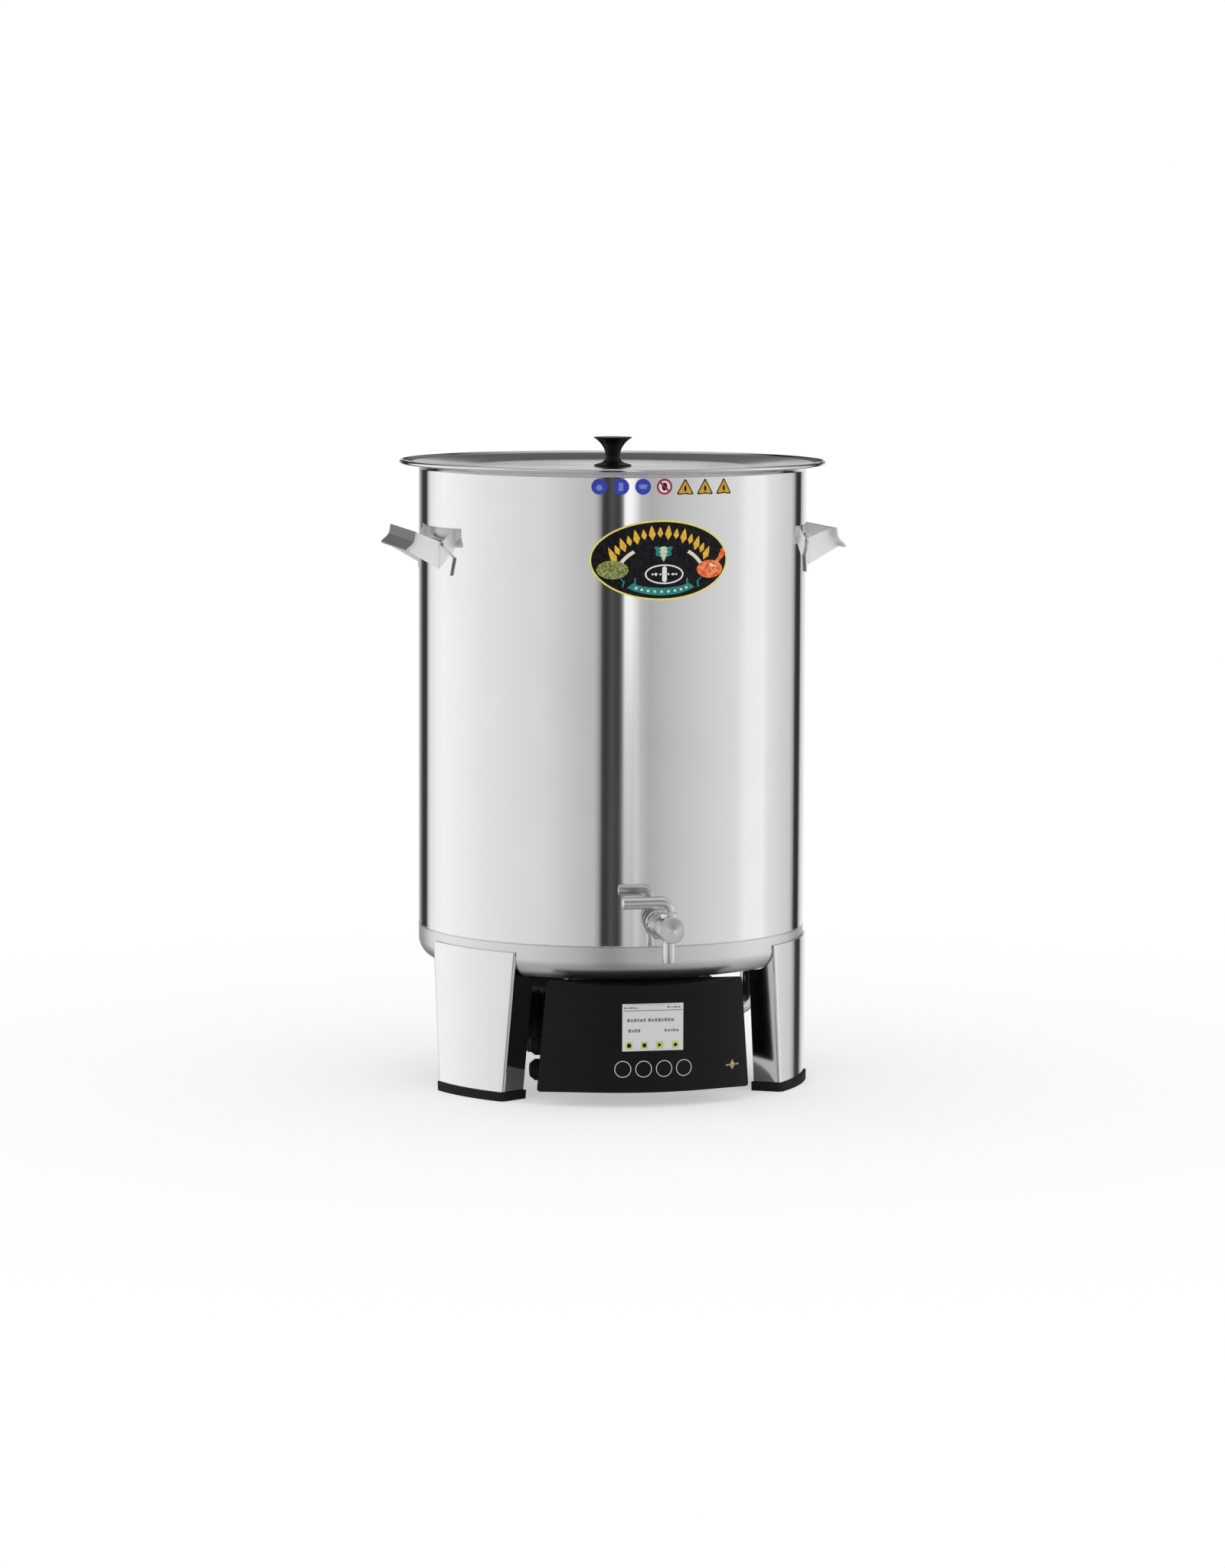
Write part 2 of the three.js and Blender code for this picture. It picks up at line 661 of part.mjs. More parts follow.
/** A pump's cable, with the moulded boot where it leaves the control unit. */
function pump_cable(side) {
  const boot = face_front(turn([[0, 78], [4.2, 78], [6.4, 92], [8.5, 92.5], [8.5, 97], [0, 97]], TINY));
  const lead = sweep([
    [side * CABLE.x, -90, CABLE.z],
    [side * CABLE.x, -80, CABLE.z],
    [side * 32, -66, 41],
    [side * 38, -40, 30],
    [side * 46, -14, 20],
    [side * 53, 6, 18],
    [side * 55.1, 14.5, 24],
    [side * 55.1, 14.8, 34],
  ], CABLE.r, 0, 14, 8);
  return join(boot.translate(side * CABLE.x, 0, CABLE.z), lead);
}

// ---- tap -------------------------------------------------------------------------------------

const tap_axis = geometry => face_front(geometry).translate(0, 0, TAP_Z);
const on_spindle = geometry => geometry.translate(0, -SPINDLE_R, 0);

function tap_socket() {
  const boss = tap_axis(tube(11.5, 5.2, KETTLE_R - 4, 214, SMALL));
  return cut(boss, rod(KETTLE_R + GAP + 0.05, TAP_Z - 40, TAP_Z + 40, ROUND));
}

const tap_nut = () => tap_axis(hex_nut(27, 5.2, 214 + GAP, 225));

function tap_body() {
  const barrel = tap_axis(turn([
    [0, 225 + GAP],
    [10.5, 225 + GAP],
    [10.5, 229],
    [BARREL_R, 231],
    [BARREL_R, 234],
    [BARREL_R - 0.6, 234.6],
    [BARREL_R - 0.6, 236.4],
    [BARREL_R, 237],
    [BARREL_R, 257],
    [0, 257],
  ], SMALL));
  const tower = on_spindle(turn([
    [0, TAP_Z],
    [8.4, TAP_Z],
    [8.4, TAP_Z + 15.4],
    [7.4, TAP_Z + 16.4],
    [0, TAP_Z + 16.4],
  ], SMALL));
  const inlet = tap_axis(rod(5.2, 220, 245, TINY));
  const seat = on_spindle(rod(6.6, TAP_Z - 7, TAP_Z + 20, SMALL));
  const outlet = on_spindle(rod(4.2, TAP_Z - 20, TAP_Z - 5, TINY));
  const spout_room = on_spindle(rod(6.2, TAP_Z - 20, TAP_Z - 9.5, TINY));
  return cut(join(barrel, tower), inlet, seat, outlet, spout_room);
}

const tap_end_cap = () => tap_axis(turn([
  [0, 257 + GAP],
  [BARREL_R, 257 + GAP],
  [BARREL_R, TAP_FACE_R - 1],
  [BARREL_R - 1, TAP_FACE_R],
  [1.8, TAP_FACE_R - 1.45],
  [1.5, TAP_FACE_R - 1.9],
  [0, TAP_FACE_R - 1.9],
], SMALL));

const tap_spout = () => on_spindle(turn([
  [4.2, SPOUT_LOW_Z],
  [6.2, SPOUT_LOW_Z],
  [6.2, TAP_Z - BARREL_R - 1.2],
  [5.8, TAP_Z - BARREL_R - 0.6],
  [5.8, TAP_Z - 9.5 - GAP],
  [4.2, TAP_Z - 9.5 - GAP],
], TINY));

function tap_plug() {
  const plug = on_spindle(turn([
    [0, TAP_Z - 6.6],
    [6.1, TAP_Z - 6.6],
    [6.1, TAP_Z + 12.6],
    [3, TAP_Z + 13],
    [3, TAP_Z + 17.4],
    [0, TAP_Z + 17.4],
  ], SMALL));
  const side_port = face_right(rod(4, 0, 12, TINY)).translate(0, -SPINDLE_R, TAP_Z);
  const down_port = on_spindle(rod(4, TAP_Z - 12, TAP_Z + 2, TINY));
  return cut(plug, side_port, down_port);
}

function tap_lever() {
  const low = TAP_Z + 17.4 + GAP;
  const bend = 9;
  const corner = [30, 60, 90].map(degrees => [
    -bend + bend * Math.cos(degrees * DEG),
    -SPINDLE_R,
    LEVER_Z - bend + bend * Math.sin(degrees * DEG),
  ]);
  const arm = sweep([
    [0, -SPINDLE_R, low - 0.05],
    ...corner,
    [-LEVER_LEN / 2, -SPINDLE_R, LEVER_Z],
    [-LEVER_LEN, -SPINDLE_R, LEVER_Z],
  ], LEVER_R, 0, 11, 12);
  const below = block([-30, -SPINDLE_R - 30, low - 20], [30, -SPINDLE_R + 30, low]);
  return cut(arm, below);
}

// ---- control unit ----------------------------------------------------------------------------

/** Half the panel's arc at a height, in degrees. */
function panel_half(z) {
  const share = (z - PANEL_Z.low) / (PANEL_Z.high - PANEL_Z.low);
  return PANEL_HALF_BOTTOM + (PANEL_HALF_TOP - PANEL_HALF_BOTTOM) * share;
}

/** A curved sheet concentric with the panel, its faces at two radii. */
function panel_sheet(outer_r, inner_r, z_low, z_high, half, steps = 16) {
  const outline = z => [
    ...front_arc(outer_r, -half(z), half(z), steps, PANEL_ARC.y),
    ...front_arc(inner_r, half(z), -half(z), steps, PANEL_ARC.y),
  ];
  return loft([z_low, z_high].map(z => ({ z, outline: outline(z) })));
}

/** Moves a geometry made facing front at the origin onto the panel's arc at an angle. */
function onto_panel(geometry, degrees, z) {
  return geometry.rotateZ(degrees * DEG).translate(0, PANEL_ARC.y, z);
}

const BUTTON_ANGLES = Array.from({ length: BUTTON.count }, (_, i) => BUTTON.first + i * BUTTON.pitch);

/** A block behind the panel's face at the display's place, between two distances from its arc. */
function display_block(width, near_r, far_r, low, high) {
  return onto_panel(block([-width / 2, -far_r, low], [width / 2, -near_r, high]), DISPLAY.angle, 0);
}

function control_panel() {
  const outer_r = PANEL_ARC.r;
  const sheet = panel_sheet(outer_r, outer_r - PANEL_SHEET, PANEL_Z.low, PANEL_Z.high, panel_half);
  const { width, low, high } = DISPLAY;
  const window_cut = display_block(width + 0.8, outer_r - 12, outer_r + 5, low - 0.4, high + 0.4);
  const holes = BUTTON_ANGLES.map(degrees => onto_panel(
    face_front(rod(BUTTON.r + 0.5, outer_r - 10, outer_r + 10, SMALL)), degrees, BUTTON.z));
  return cut(sheet, window_cut, ...holes);
}

const button = () => face_front(rod(BUTTON.r, PANEL_ARC.r - BUTTON.depth, PANEL_ARC.r - 0.2, SMALL));

function display() {
  const face_r = PANEL_ARC.r - 2.9;
  const frame_r = PANEL_ARC.r - 6.5;
  const glass = display_block(DISPLAY.width, frame_r - 1, face_r, DISPLAY.low, DISPLAY.high);
  const frame = display_block(DISPLAY.width + 8, frame_r - 5, frame_r, DISPLAY.low - 4, DISPLAY.high + 4);
  return join(glass, frame);
}

function control_housing() {
  const front_r = PANEL_ARC.r - PANEL_SHEET - 0.4;
  const side = HOUSING.half;
  const outline = (half, back) => {
    const edge = Math.asin(half / front_r) / DEG;
    return [...front_arc(front_r, -edge, edge, 12, PANEL_ARC.y), [half, back], [-half, back]];
  };
  const shell = slab(outline(side, HOUSING.back), HOUSING.low, HOUSING.high);
  const inside = side - HOUSING.wall;
  const room = block(
    [-inside, -230, HOUSING.low + HOUSING.wall],
    [inside, HOUSING.back - HOUSING.wall, HOUSING.high - HOUSING.wall],
  );
  const mains_hole = face_front(rod(6.2, -HOUSING.back - 9, -HOUSING.back + 9, TINY));
  return cut(shell, room, mains_hole.translate(0, 0, MAINS_Z));
}

/** The gland at the back of the control unit that the mains lead comes out of. */
function mains_gland() {
  const flange_y = HOUSING.back + GAP;
  const body = turn([
    [4.2, -8],
    [5.8, -8],
    [5.8, 0],
    [10, 0],
    [10, 6],
    [8.8, 6.6],
    [8.8, 12],
    [6.5, 17],
    [4.2, 17],
  ], TINY);
  return body.rotateX(-Math.PI / 2).translate(0, flange_y, MAINS_Z);
}

/** Two capped screw sockets for extra cables, on one plate at the control unit's left side. */
function accessory_sockets() {
  const wall_x = -HOUSING.half - GAP;
  const plate = block([wall_x - 3, -136, 16], [wall_x, -108, 66]);
  const cap = turn([[0, 2], [10, 2], [10, 7], [7.5, 8], [7.5, 11], [11, 12], [11, 18], [7, 23], [0, 24]], 12);
  const caps = SOCKET_Z.map(z => cap.clone().rotateY(-Math.PI / 2).translate(wall_x, -122, z));
  return join(plate, ...caps);
}

function circuit_board() {
  const plate = block([-70, -150, 30], [70, -148.4, 108]);
  const relay = block([-60, -148.5, 40], [-36, -136, 66]);
  const coil = block([-26, -148.5, 40], [6, -128, 62]);
  const terminals = block([16, -148.5, 36], [62, -138, 46]);
  const chip = block([-10, -148.5, 74], [10, -146, 94]);
  return join(plate, relay, coil, terminals, chip);
}

/** The bent bracket that hangs the control unit from the kettle's bottom. */
function control_bracket() {
  const low = HOUSING.high + GAP;
  const high = BASE_Z - GAP;
  const bar = block([-72, -126, low], [72, -112, low + 2]);
  const posts = [-67, 67].map(x => rod(5, low + 1, high, 12).translate(x, -119, 0));
  return join(bar, ...posts);
}

// ---- label -----------------------------------------------------------------------------------

/** An oval plate that follows the kettle wall. */
function label_plate() {
  const { half_width, z: centre_z, half_height } = LABEL;
  const band = [
    ...front_arc(KETTLE_R + 0.75, -half_width, half_width, 14),
    ...front_arc(KETTLE_R + GAP - 0.05, half_width, -half_width, 14),
  ];
  const oval = Array.from({ length: 36 }, (_, i) => [
    KETTLE_R * Math.sin(half_width * DEG) * Math.cos(i * 10 * DEG),
    centre_z + half_height * Math.sin(i * 10 * DEG),
  ]);
  const cutter = slab(oval, 150, 250).rotateX(Math.PI / 2);
  const plate = solid(slab(band, centre_z - 60, centre_z + 60));
  return surface(plate.intersect(solid(cutter)));
}

// ---- assembly --------------------------------------------------------------------------------

piece(brewer, 'kettle_base', kettle_base(), polished);
piece(brewer, 'kettle_wall', kettle_wall(), polished);

for (const [side, degrees] of Object.entries(LEG_ANGLES)) {
  piece(brewer, `leg_${side}`, leg(), polished).rotation.z = degrees * DEG;
  piece(brewer, `foot_${side}`, foot(), black_rubber).rotation.z = degrees * DEG;
}

piece(brewer, 'handle_right', handle(), polished).rotation.z = HANDLE_TURN * DEG;
piece(brewer, 'handle_left', handle(), polished).rotation.z = Math.PI - HANDLE_TURN * DEG;
piece(brewer, 'label_plate', label_plate(), label_print).rotation.z = LABEL.turn * DEG;

piece(brewer, 'lid', lid(), polished);
piece(brewer, 'lid_knob', lid_knob(), black_plastic);
piece(brewer, 'lid_knob_screw', lid_screw(), nickel);

piece(brewer, 'centre_rod', centre_rod(), turned);
piece(brewer, 'malt_pipe', malt_pipe(), brushed);
piece(brewer, 'malt_pipe_seal', malt_pipe_seal(), silicone);
piece(brewer, 'lower_sieve', sieve_disc(PIPE_R - 4.5, LEDGE_LOW_Z + GAP, SIEVE), brushed);
piece(brewer, 'lower_fine_screen', sieve_disc(PIPE_R - 4.7, LOWER_SCREEN_Z, FINE_SCREEN), mesh_cloth);
piece(brewer, 'upper_fine_screen', sieve_disc(PIPE_R - 2.4, UPPER_SCREEN_Z, FINE_SCREEN), mesh_cloth);
piece(brewer, 'upper_sieve', sieve_disc(PIPE_R - 2.2, UPPER_SIEVE_Z, SIEVE), brushed);
piece(brewer, 'hold_down_bracket', hold_down_bracket(), brushed);
piece(brewer, 'wing_nut', wing_nut(), turned);
piece(brewer, 'heating_coil', heating_coil(), nickel);
piece(brewer, 'heater_flange', heater_flange(), nickel);
piece(brewer, 'temperature_sensor', temperature_sensor(), nickel);

for (const [side, degrees] of Object.entries(PUMP_TURNS)) {
  const pump = new THREE.Group();
  pump.rotation.z = degrees * DEG;
  brewer.add(pump);
  piece(pump, `pump_motor_${side}`, pump_motor(), black_plastic);
  piece(pump, `pump_volute_${side}`, pump_volute(), black_plastic);
  piece(pump, `pump_cover_${side}`, pump_cover(), black_plastic);
  piece(pump, `pump_impeller_${side}`, pump_impeller(), black_plastic);
  piece(pump, `pump_union_nut_${side}`, pump_union_nut(), black_plastic);
  piece(pump, `pump_inlet_elbow_${side}`, pump_inlet_elbow(), polished);
  piece(pump, `pump_outlet_pipe_${side}`, pump_outlet_pipe(), polished);
}

piece(brewer, 'tap_socket', tap_socket(), turned);
piece(brewer, 'tap_nut', tap_nut(), turned);
piece(brewer, 'tap_body', tap_body(), turned);
piece(brewer, 'tap_end_cap', tap_end_cap(), turned);
piece(brewer, 'tap_spout', tap_spout(), turned);
piece(brewer, 'tap_plug', tap_plug(), turned);
piece(brewer, 'tap_lever', tap_lever(), turned);

const control_unit = new THREE.Group();
control_unit.rotation.z = PANEL_TURN * DEG;
brewer.add(control_unit);
piece(control_unit, 'control_panel', control_panel(), black_metal);
piece(control_unit, 'control_housing', control_housing(), black_plastic);
piece(control_unit, 'display', display(), screen);
piece(control_unit, 'circuit_board', circuit_board(), board_green);
piece(control_unit, 'mains_gland', mains_gland(), black_plastic);
piece(control_unit, 'accessory_sockets', accessory_sockets(), black_plastic);
piece(control_unit, 'control_bracket', control_bracket(), nickel);
piece(control_unit, 'pump_cable_left', pump_cable(-1), black_rubber);
piece(control_unit, 'pump_cable_right', pump_cable(1), black_rubber);
BUTTON_ANGLES.forEach((degrees, i) => {
  const key = piece(control_unit, `button_${i + 1}`, button(), black_plastic);
  key.position.set(0, PANEL_ARC.y, BUTTON.z);
  key.rotation.z = degrees * DEG;
});

export default brewer;
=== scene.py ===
"""Looks of the electric all-in-one brewer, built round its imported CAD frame.

Shapes are made in millimetres in the kettle's own coordinates: axis on Z, floor at z = 0, front at -Y.
"""

import json
import math

import bmesh
import bpy
import numpy as np
from mathutils import Matrix, Vector
from mathutils.geometry import delaunay_2d_cdt

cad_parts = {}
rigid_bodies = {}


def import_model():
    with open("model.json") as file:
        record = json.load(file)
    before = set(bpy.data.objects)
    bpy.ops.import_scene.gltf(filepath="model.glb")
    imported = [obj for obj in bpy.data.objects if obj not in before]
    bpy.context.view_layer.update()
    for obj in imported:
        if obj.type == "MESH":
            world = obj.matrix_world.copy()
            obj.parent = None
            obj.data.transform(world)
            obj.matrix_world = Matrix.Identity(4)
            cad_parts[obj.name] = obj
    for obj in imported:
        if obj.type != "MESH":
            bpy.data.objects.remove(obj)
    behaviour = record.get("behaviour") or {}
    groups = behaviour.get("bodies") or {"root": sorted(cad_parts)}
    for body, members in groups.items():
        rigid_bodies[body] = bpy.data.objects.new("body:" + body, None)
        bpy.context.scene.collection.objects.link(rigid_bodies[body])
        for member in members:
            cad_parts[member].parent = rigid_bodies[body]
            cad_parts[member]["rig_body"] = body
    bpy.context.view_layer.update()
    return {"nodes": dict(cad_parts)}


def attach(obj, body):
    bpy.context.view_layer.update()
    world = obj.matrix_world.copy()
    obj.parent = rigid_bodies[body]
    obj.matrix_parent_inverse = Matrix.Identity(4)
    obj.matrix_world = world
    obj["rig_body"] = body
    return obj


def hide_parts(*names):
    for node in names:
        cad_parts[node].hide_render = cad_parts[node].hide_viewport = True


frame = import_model()
NODES = frame["nodes"]

# ---- driving dimensions, millimetres and degrees -----------------------------------------------
MM = 0.001
AXIS_Y = 20.75
KETTLE_R, SHEET, BASE_Z, CORNER_R, SEAM_Z = 200.0, 1.6, 127.5, 20.0, 162.4
WALL_TOP_Z, RIM_R, RIM_Z, BEAD_R = 634.0, 220.5, 641.2, 2.1
LEG_TURNS = {"left": -60.0, "right": 60.0, "back": 180.0}
LEG_TOP_Z, LEG_R, LEG_SHEET, FLANGE = 152.8, 202.4, 1.8, 28.0
LEG_HALF_TOP, LEG_HALF_BOTTOM = 17.9, 13.8
FOOT_H, FOOT_PROUD = 9.0, 2.1
HANDLE_TURNS = {"right": 1.2, "left": 178.8}
GRIP_HALF, CHEEK_HALF = 75.0, 59.5
PUMP_TURNS, PUMP_Z = {"right": 15.0, "left": 165.0}, 62.0
PANEL_TURN, PANEL_ARC_R, PANEL_ARC_Y = -2.3, 185.0, -22.0
PANEL_LOW, PANEL_HIGH = 13.5, 127.0
PANEL_HALF_TOP, PANEL_HALF_BOTTOM, PANEL_SHEET = 32.9, 36.3, 2.5
DISPLAY_TURN, DISPLAY_HALF, DISPLAY_LOW, DISPLAY_HIGH, DISPLAY_FACE = 1.0, 31.5, 57.3, 105.6, 182.08
KEY_FIRST, KEY_PITCH, KEY_Z = -8.6, 6.55, 39.3
TAP_Z, SPINDLE_R, TAP_FACE_R, BARREL_R = 187.0, 248.0, 262.0, 13.4
PIPE_R, PIPE_LOW_Z, PIPE_TOP_Z, LEDGE_LOW_Z, LEDGE_HIGH_Z = 150.0, 142.0, 562.0, 160.0, 498.0
GAP = 0.35  # clearance between neighbouring CAD solids
FLOOR_Z = BASE_Z + SHEET + GAP
TUBE_TOP_Z = BASE_Z + 5
LABEL_Z, LABEL_HALF, LABEL_TALL = 551.6, 20.8, 40.0
ROUND = 192  # sides of a large turned piece
BOTH_SIDES = ((-1, "left"), (1, "right"))


# ---- shapes ------------------------------------------------------------------------------------
def polar(r, degrees):
    return r * math.cos(math.radians(degrees)), r * math.sin(math.radians(degrees))


class Shape:
    """Points and faces in millimetres."""

    def __init__(self, points, faces):
        self.points = np.array(points, float).reshape(-1, 3)
        self.faces = [tuple(f) for f in faces]

    def __add__(self, other):
        n = len(self.points)
        more = [tuple(i + n for i in f) for f in other.faces]
        return Shape(np.vstack([self.points, other.points]), self.faces + more)

    def move(self, x=0.0, y=0.0, z=0.0):
        return Shape(self.points + (x, y, z), self.faces)

    def turn(self, degrees):
        c, s = polar(1, degrees)
        x, y, z = self.points.T
        return Shape(np.stack([x * c - y * s, x * s + y * c, z], 1), self.faces)

    def swap(self, *axes):
        """The same shape on other axes, such as "z", "y", "-x"."""
        picked = [self.points[:, "xyz".index(a[-1])] * (-1 if a[0] == "-" else 1) for a in axes]
        return Shape(np.stack(picked, 1), self.faces)

    # Heights become distances from the axis to that side.
    def front(self):
        return self.swap("x", "-z", "y")

    def right(self):
        return self.swap("z", "y", "-x")


def join(shapes):
    first, *others = shapes
    return sum(others, first)


def rounded(outline, radius=0.0, closed=True, steps=5):
    """The outline with its corners rounded. A point is (x, y), or (x, y, radius)."""
    result = []
    for i, p in enumerate(outline):
        r = p[2] if len(p) > 2 else radius
        here = Vector(p[:2])
        to_a = Vector(outline[i - 1][:2]) - here
        to_b = Vector(outline[(i + 1) % len(outline)][:2]) - here
        room = 0.49 * min(to_a.length, to_b.length)
        at_end = not closed and i in (0, len(outline) - 1)
        if r <= 0 or at_end or room < 1e-6 or to_a.angle(to_b) > math.pi - 0.02:
            result.append(tuple(here))
            continue
        to_a.normalize()
        to_b.normalize()
        angle = to_a.angle(to_b)
        cut = min(r / math.tan(angle / 2), room)
        centre = here + (to_a + to_b).normalized() * (cut / math.cos(angle / 2))
        start, end = here + to_a * cut - centre, here + to_b * cut - centre
        turn = math.pi - angle
        for t in np.linspace(0, 1, steps + 1):
            before, after = (math.sin(share * turn) / math.sin(turn) for share in (1 - t, t))
            result.append(tuple(centre + start * before + end * after))
    return result


def arc(x0, y0, r, start, end, steps):
    turned_by = [polar(r, start + (end - start) * i / steps) for i in range(steps + 1)]
    return [(x0 + x, y0 + y) for x, y in turned_by]


def ellipse(x, y, a, b, n=48):
    return [(x + polar(a, 360 * i / n)[0], y + polar(b, 360 * i / n)[1]) for i in range(n)]


def circle(x, y, r, n=32):
    return ellipse(x, y, r, r, n)


def rectangle(x0, y0, x1, y1):
    return [(x0, y0), (x1, y0), (x1, y1), (x0, y1)]


def lathe(profile, around=ROUND):
    """A solid turned about Z from (radius, height) points."""
    points, rings, faces = [], [], []
    for r, z in profile:
        count = around if r >= 1e-6 else 1
        rings.append(range(len(points), len(points) + count))
        points += [(*polar(r, 360 * i / around), z) for i in range(count)]
    pairs = list(zip(rings, rings[1:]))
    if len(rings[0]) > 1 or len(rings[-1]) > 1:
        pairs.append((rings[-1], rings[0]))
    for a, b in pairs:
        for i in range(around):
            j = (i + 1) % around
            face = dict.fromkeys((a[i % len(a)], a[j % len(a)], b[j % len(b)], b[i % len(b)]))
            if len(face) > 2:
                faces.append(face)
    return Shape(points, faces)


def turned(profile, radius=0.3, around=ROUND, steps=4):
    """A turned solid whose edges are rounded a little."""
    ends_on_axis = profile[0][0] == 0 and profile[-1][0] == 0
    return lathe([(max(r, 0.0), z) for r, z in rounded(profile, radius, not ends_on_axis, steps)], around)


def rod(r, low, high, radius=0.3, around=64):
    return turned([(0, low), (r, low), (r, high), (0, high)], radius, around)


def tube(r, bore, low, high, radius=0.3, around=64):
    return turned([(bore, low), (r, low), (r, high), (bore, high)], radius, around)


def prism(outline, low, high):
    """An outline extruded from one height to another."""
    n = len(outline)
    points = [(x, y, z) for z in (low, high) for x, y in outline]
    sides = [(i, (i + 1) % n, n + (i + 1) % n, n + i) for i in range(n)]
    return Shape(points, [range(n)[::-1], range(n, 2 * n), *sides])


def box(low, high):
    return prism(rectangle(*low[:2], *high[:2]), low[2], high[2])


def bands(rings, n, closed=False):
    """The faces between rings of n points, each ring joined to the next."""
    return [(k * n + i, k * n + (i + 1) % n, (k + 1) % rings * n + (i + 1) % n, (k + 1) % rings * n + i)
            for k in range(rings - (not closed)) for i in range(n)]


def hex_nut(across, bore, low, high):
    """A hexagon nut with chamfered corners, about Z."""
    half, n, chamfer = across / 2, 96, 0.9
    corner = half / math.cos(math.radians(30))
    points = []
    for z, limit in ((low, corner * 0.93), (low + chamfer, corner * 1.02), (high - chamfer, corner * 1.02),
                     (high, corner * 0.93), (high, bore), (low, bore)):
        for degrees in np.arange(n) * 360 / n:
            flat = half / math.cos(math.radians(degrees % 60 - 30))
            points.append((*polar(min(flat, limit), degrees), z))
    return Shape(points, bands(6, n, True))


def spline(route, per=8):
    """Points along a smooth curve through the route."""
    p = [Vector(q) for q in route]
    p = [2 * p[0] - p[1], *p, 2 * p[-1] - p[-2]]
    path = []

    def blend(a, b, start, end, t):
        return a * ((end - t) / (end - start)) + b * ((t - start) / (end - start))

    for i in range(1, len(p) - 2):
        a, b, c, d = p[i - 1 : i + 3]
        t1 = max((b - a).length, 1e-4) ** 0.5
        t2 = t1 + max((c - b).length, 1e-4) ** 0.5
        t3 = t2 + max((d - c).length, 1e-4) ** 0.5
        for k in range(per):
            t = t1 + (t2 - t1) * k / per
            ab, bc, cd = blend(a, b, 0, t1, t), blend(b, c, t1, t2, t), blend(c, d, t2, t3, t)
            path.append(blend(blend(ab, bc, 0, t2, t), blend(bc, cd, t1, t3, t), t1, t2, t))
    return [*path, p[-2]]


def sweep(route, r, sides=28, per=8):
    """A round bar along a route. r is one radius, or a list of (share of the path, radius)."""
    path = spline(route, per) if per else [Vector(q) for q in route]
    lengths = np.cumsum([0.0, *[(b - a).length for a, b in zip(path, path[1:])]])
    shares, values = zip(*(r if isinstance(r, list) else [(0, r), (1, r)]))
    normal, points = None, []
    for i, here in enumerate(path):
        ahead = (path[min(i + 1, len(path) - 1)] - path[max(i - 1, 0)]).normalized()
        normal = normal or ahead.orthogonal().normalized()
        normal = (normal - ahead * normal.dot(ahead)).normalized()
        side = ahead.cross(normal)
        radius = float(np.interp(lengths[i] / lengths[-1], shares, values))
        for k in range(sides):
            c, s = polar(radius, 360 * k / sides)
            points.append(here + normal * c + side * s)
    ends = [range(sides)[::-1], range((len(path) - 1) * sides, len(path) * sides)]
    return Shape([tuple(q) for q in points], [*bands(len(path), sides), *ends])


def normals(line):
    """Unit vectors to the left of a flat line of points."""
    along = np.gradient(line, axis=0)
    return np.stack([-along[:, 1], along[:, 0]], 1) / np.linalg.norm(along, axis=1)[:, None]


def strip(lines, thick):
    """A bent sheet through lines of (x, y, z) points, one line per height, thickened in plan."""
    n = len(lines[0])
    points = []
    for line in lines:
        plan = np.array(line)[:, :2]
        across = normals(plan) * -thick / 2
        for moved in (plan + across, plan - across):
            points += [(x, y, p[2]) for (x, y), p in zip(moved, line)]
    loop = [*range(n), *range(n, 2 * n)[::-1]]
    last = 2 * n * (len(lines) - 1)
    faces = [(k + a, k + b, k + 2 * n + b, k + 2 * n + a)
             for k in range(0, last, 2 * n) for a, b in zip(loop, loop[1:] + loop[:1])]
    faces += [(k + i, k + n + i, k + n + i + 1, k + i + 1) for k in (0, last) for i in range(n - 1)]
    return Shape(points, faces)


def inside_polygon(points, polygon):
    (x, y), inside = points.T, np.zeros(len(points), bool)
    for (x0, y0), (x1, y1) in zip(polygon, np.roll(polygon, 1, axis=0)):
        crosses = (y0 > y) != (y1 > y)
        inside ^= crosses & (x < (x1 - x0) * (y - y0) / (y1 - y0 if y1 != y0 else 1e-12) + x0)
    return inside


def plate(outline, thick, bend, holes=(), grid=None, many=None):
    """A sheet cut to an outline, with holes, bent by bend(s, z, depth) for depths 0 to thick.

    many = (centres, radius) tests a large number of round holes quickly."""
    loops = [np.array(loop, float) for loop in (outline, *holes)]
    points, edges = np.vstack(loops), []
    for loop in loops:
        n, start = len(loop), len(edges)
        edges += [(start + i, start + (i + 1) % n) for i in range(n)]
    if grid:
        extent = zip(loops[0].min(0), loops[0].max(0))
        xs, ys = (np.arange(low + grid / 2, high, grid) for low, high in extent)
        inner = np.array([(x, y) for x in xs for y in ys])
        keep = inside_polygon(inner, loops[0])
        for p in points:
            keep &= np.hypot(*(inner - p).T) > 0.4 * grid
        points = np.vstack([points, inner[keep]])
    found = delaunay_2d_cdt([Vector(p) for p in points], edges, [], 0, 1e-6)
    flat = np.array([tuple(p) for p in found[0]])
    faces = np.array([f for f in found[2] if len(f) == 3])
    middles = flat[faces].mean(1)
    keep = inside_polygon(middles, loops[0])
    if many:
        centres, radius = many
        for part in np.array_split(np.arange(len(middles)), len(middles) // 2000 + 1):
            keep[part] &= np.linalg.norm(middles[part][:, None] - centres, axis=2).min(1) > radius * 0.9
    else:
        for hole in loops[1:]:
            keep &= ~inside_polygon(middles, hole)
    faces, n = faces[keep], len(flat)
    used = dict.fromkeys(side for a, b, c in faces.tolist() for side in ((a, b), (b, c), (c, a)))
    walls = [(a, b, b + n, a + n) for a, b in used if (b, a) not in used]
    points = [bend(s, z, depth) for depth in (0.0, thick) for s, z in flat]
    return Shape(points, [*faces[:, ::-1].tolist(), *(faces + n).tolist(), *walls])


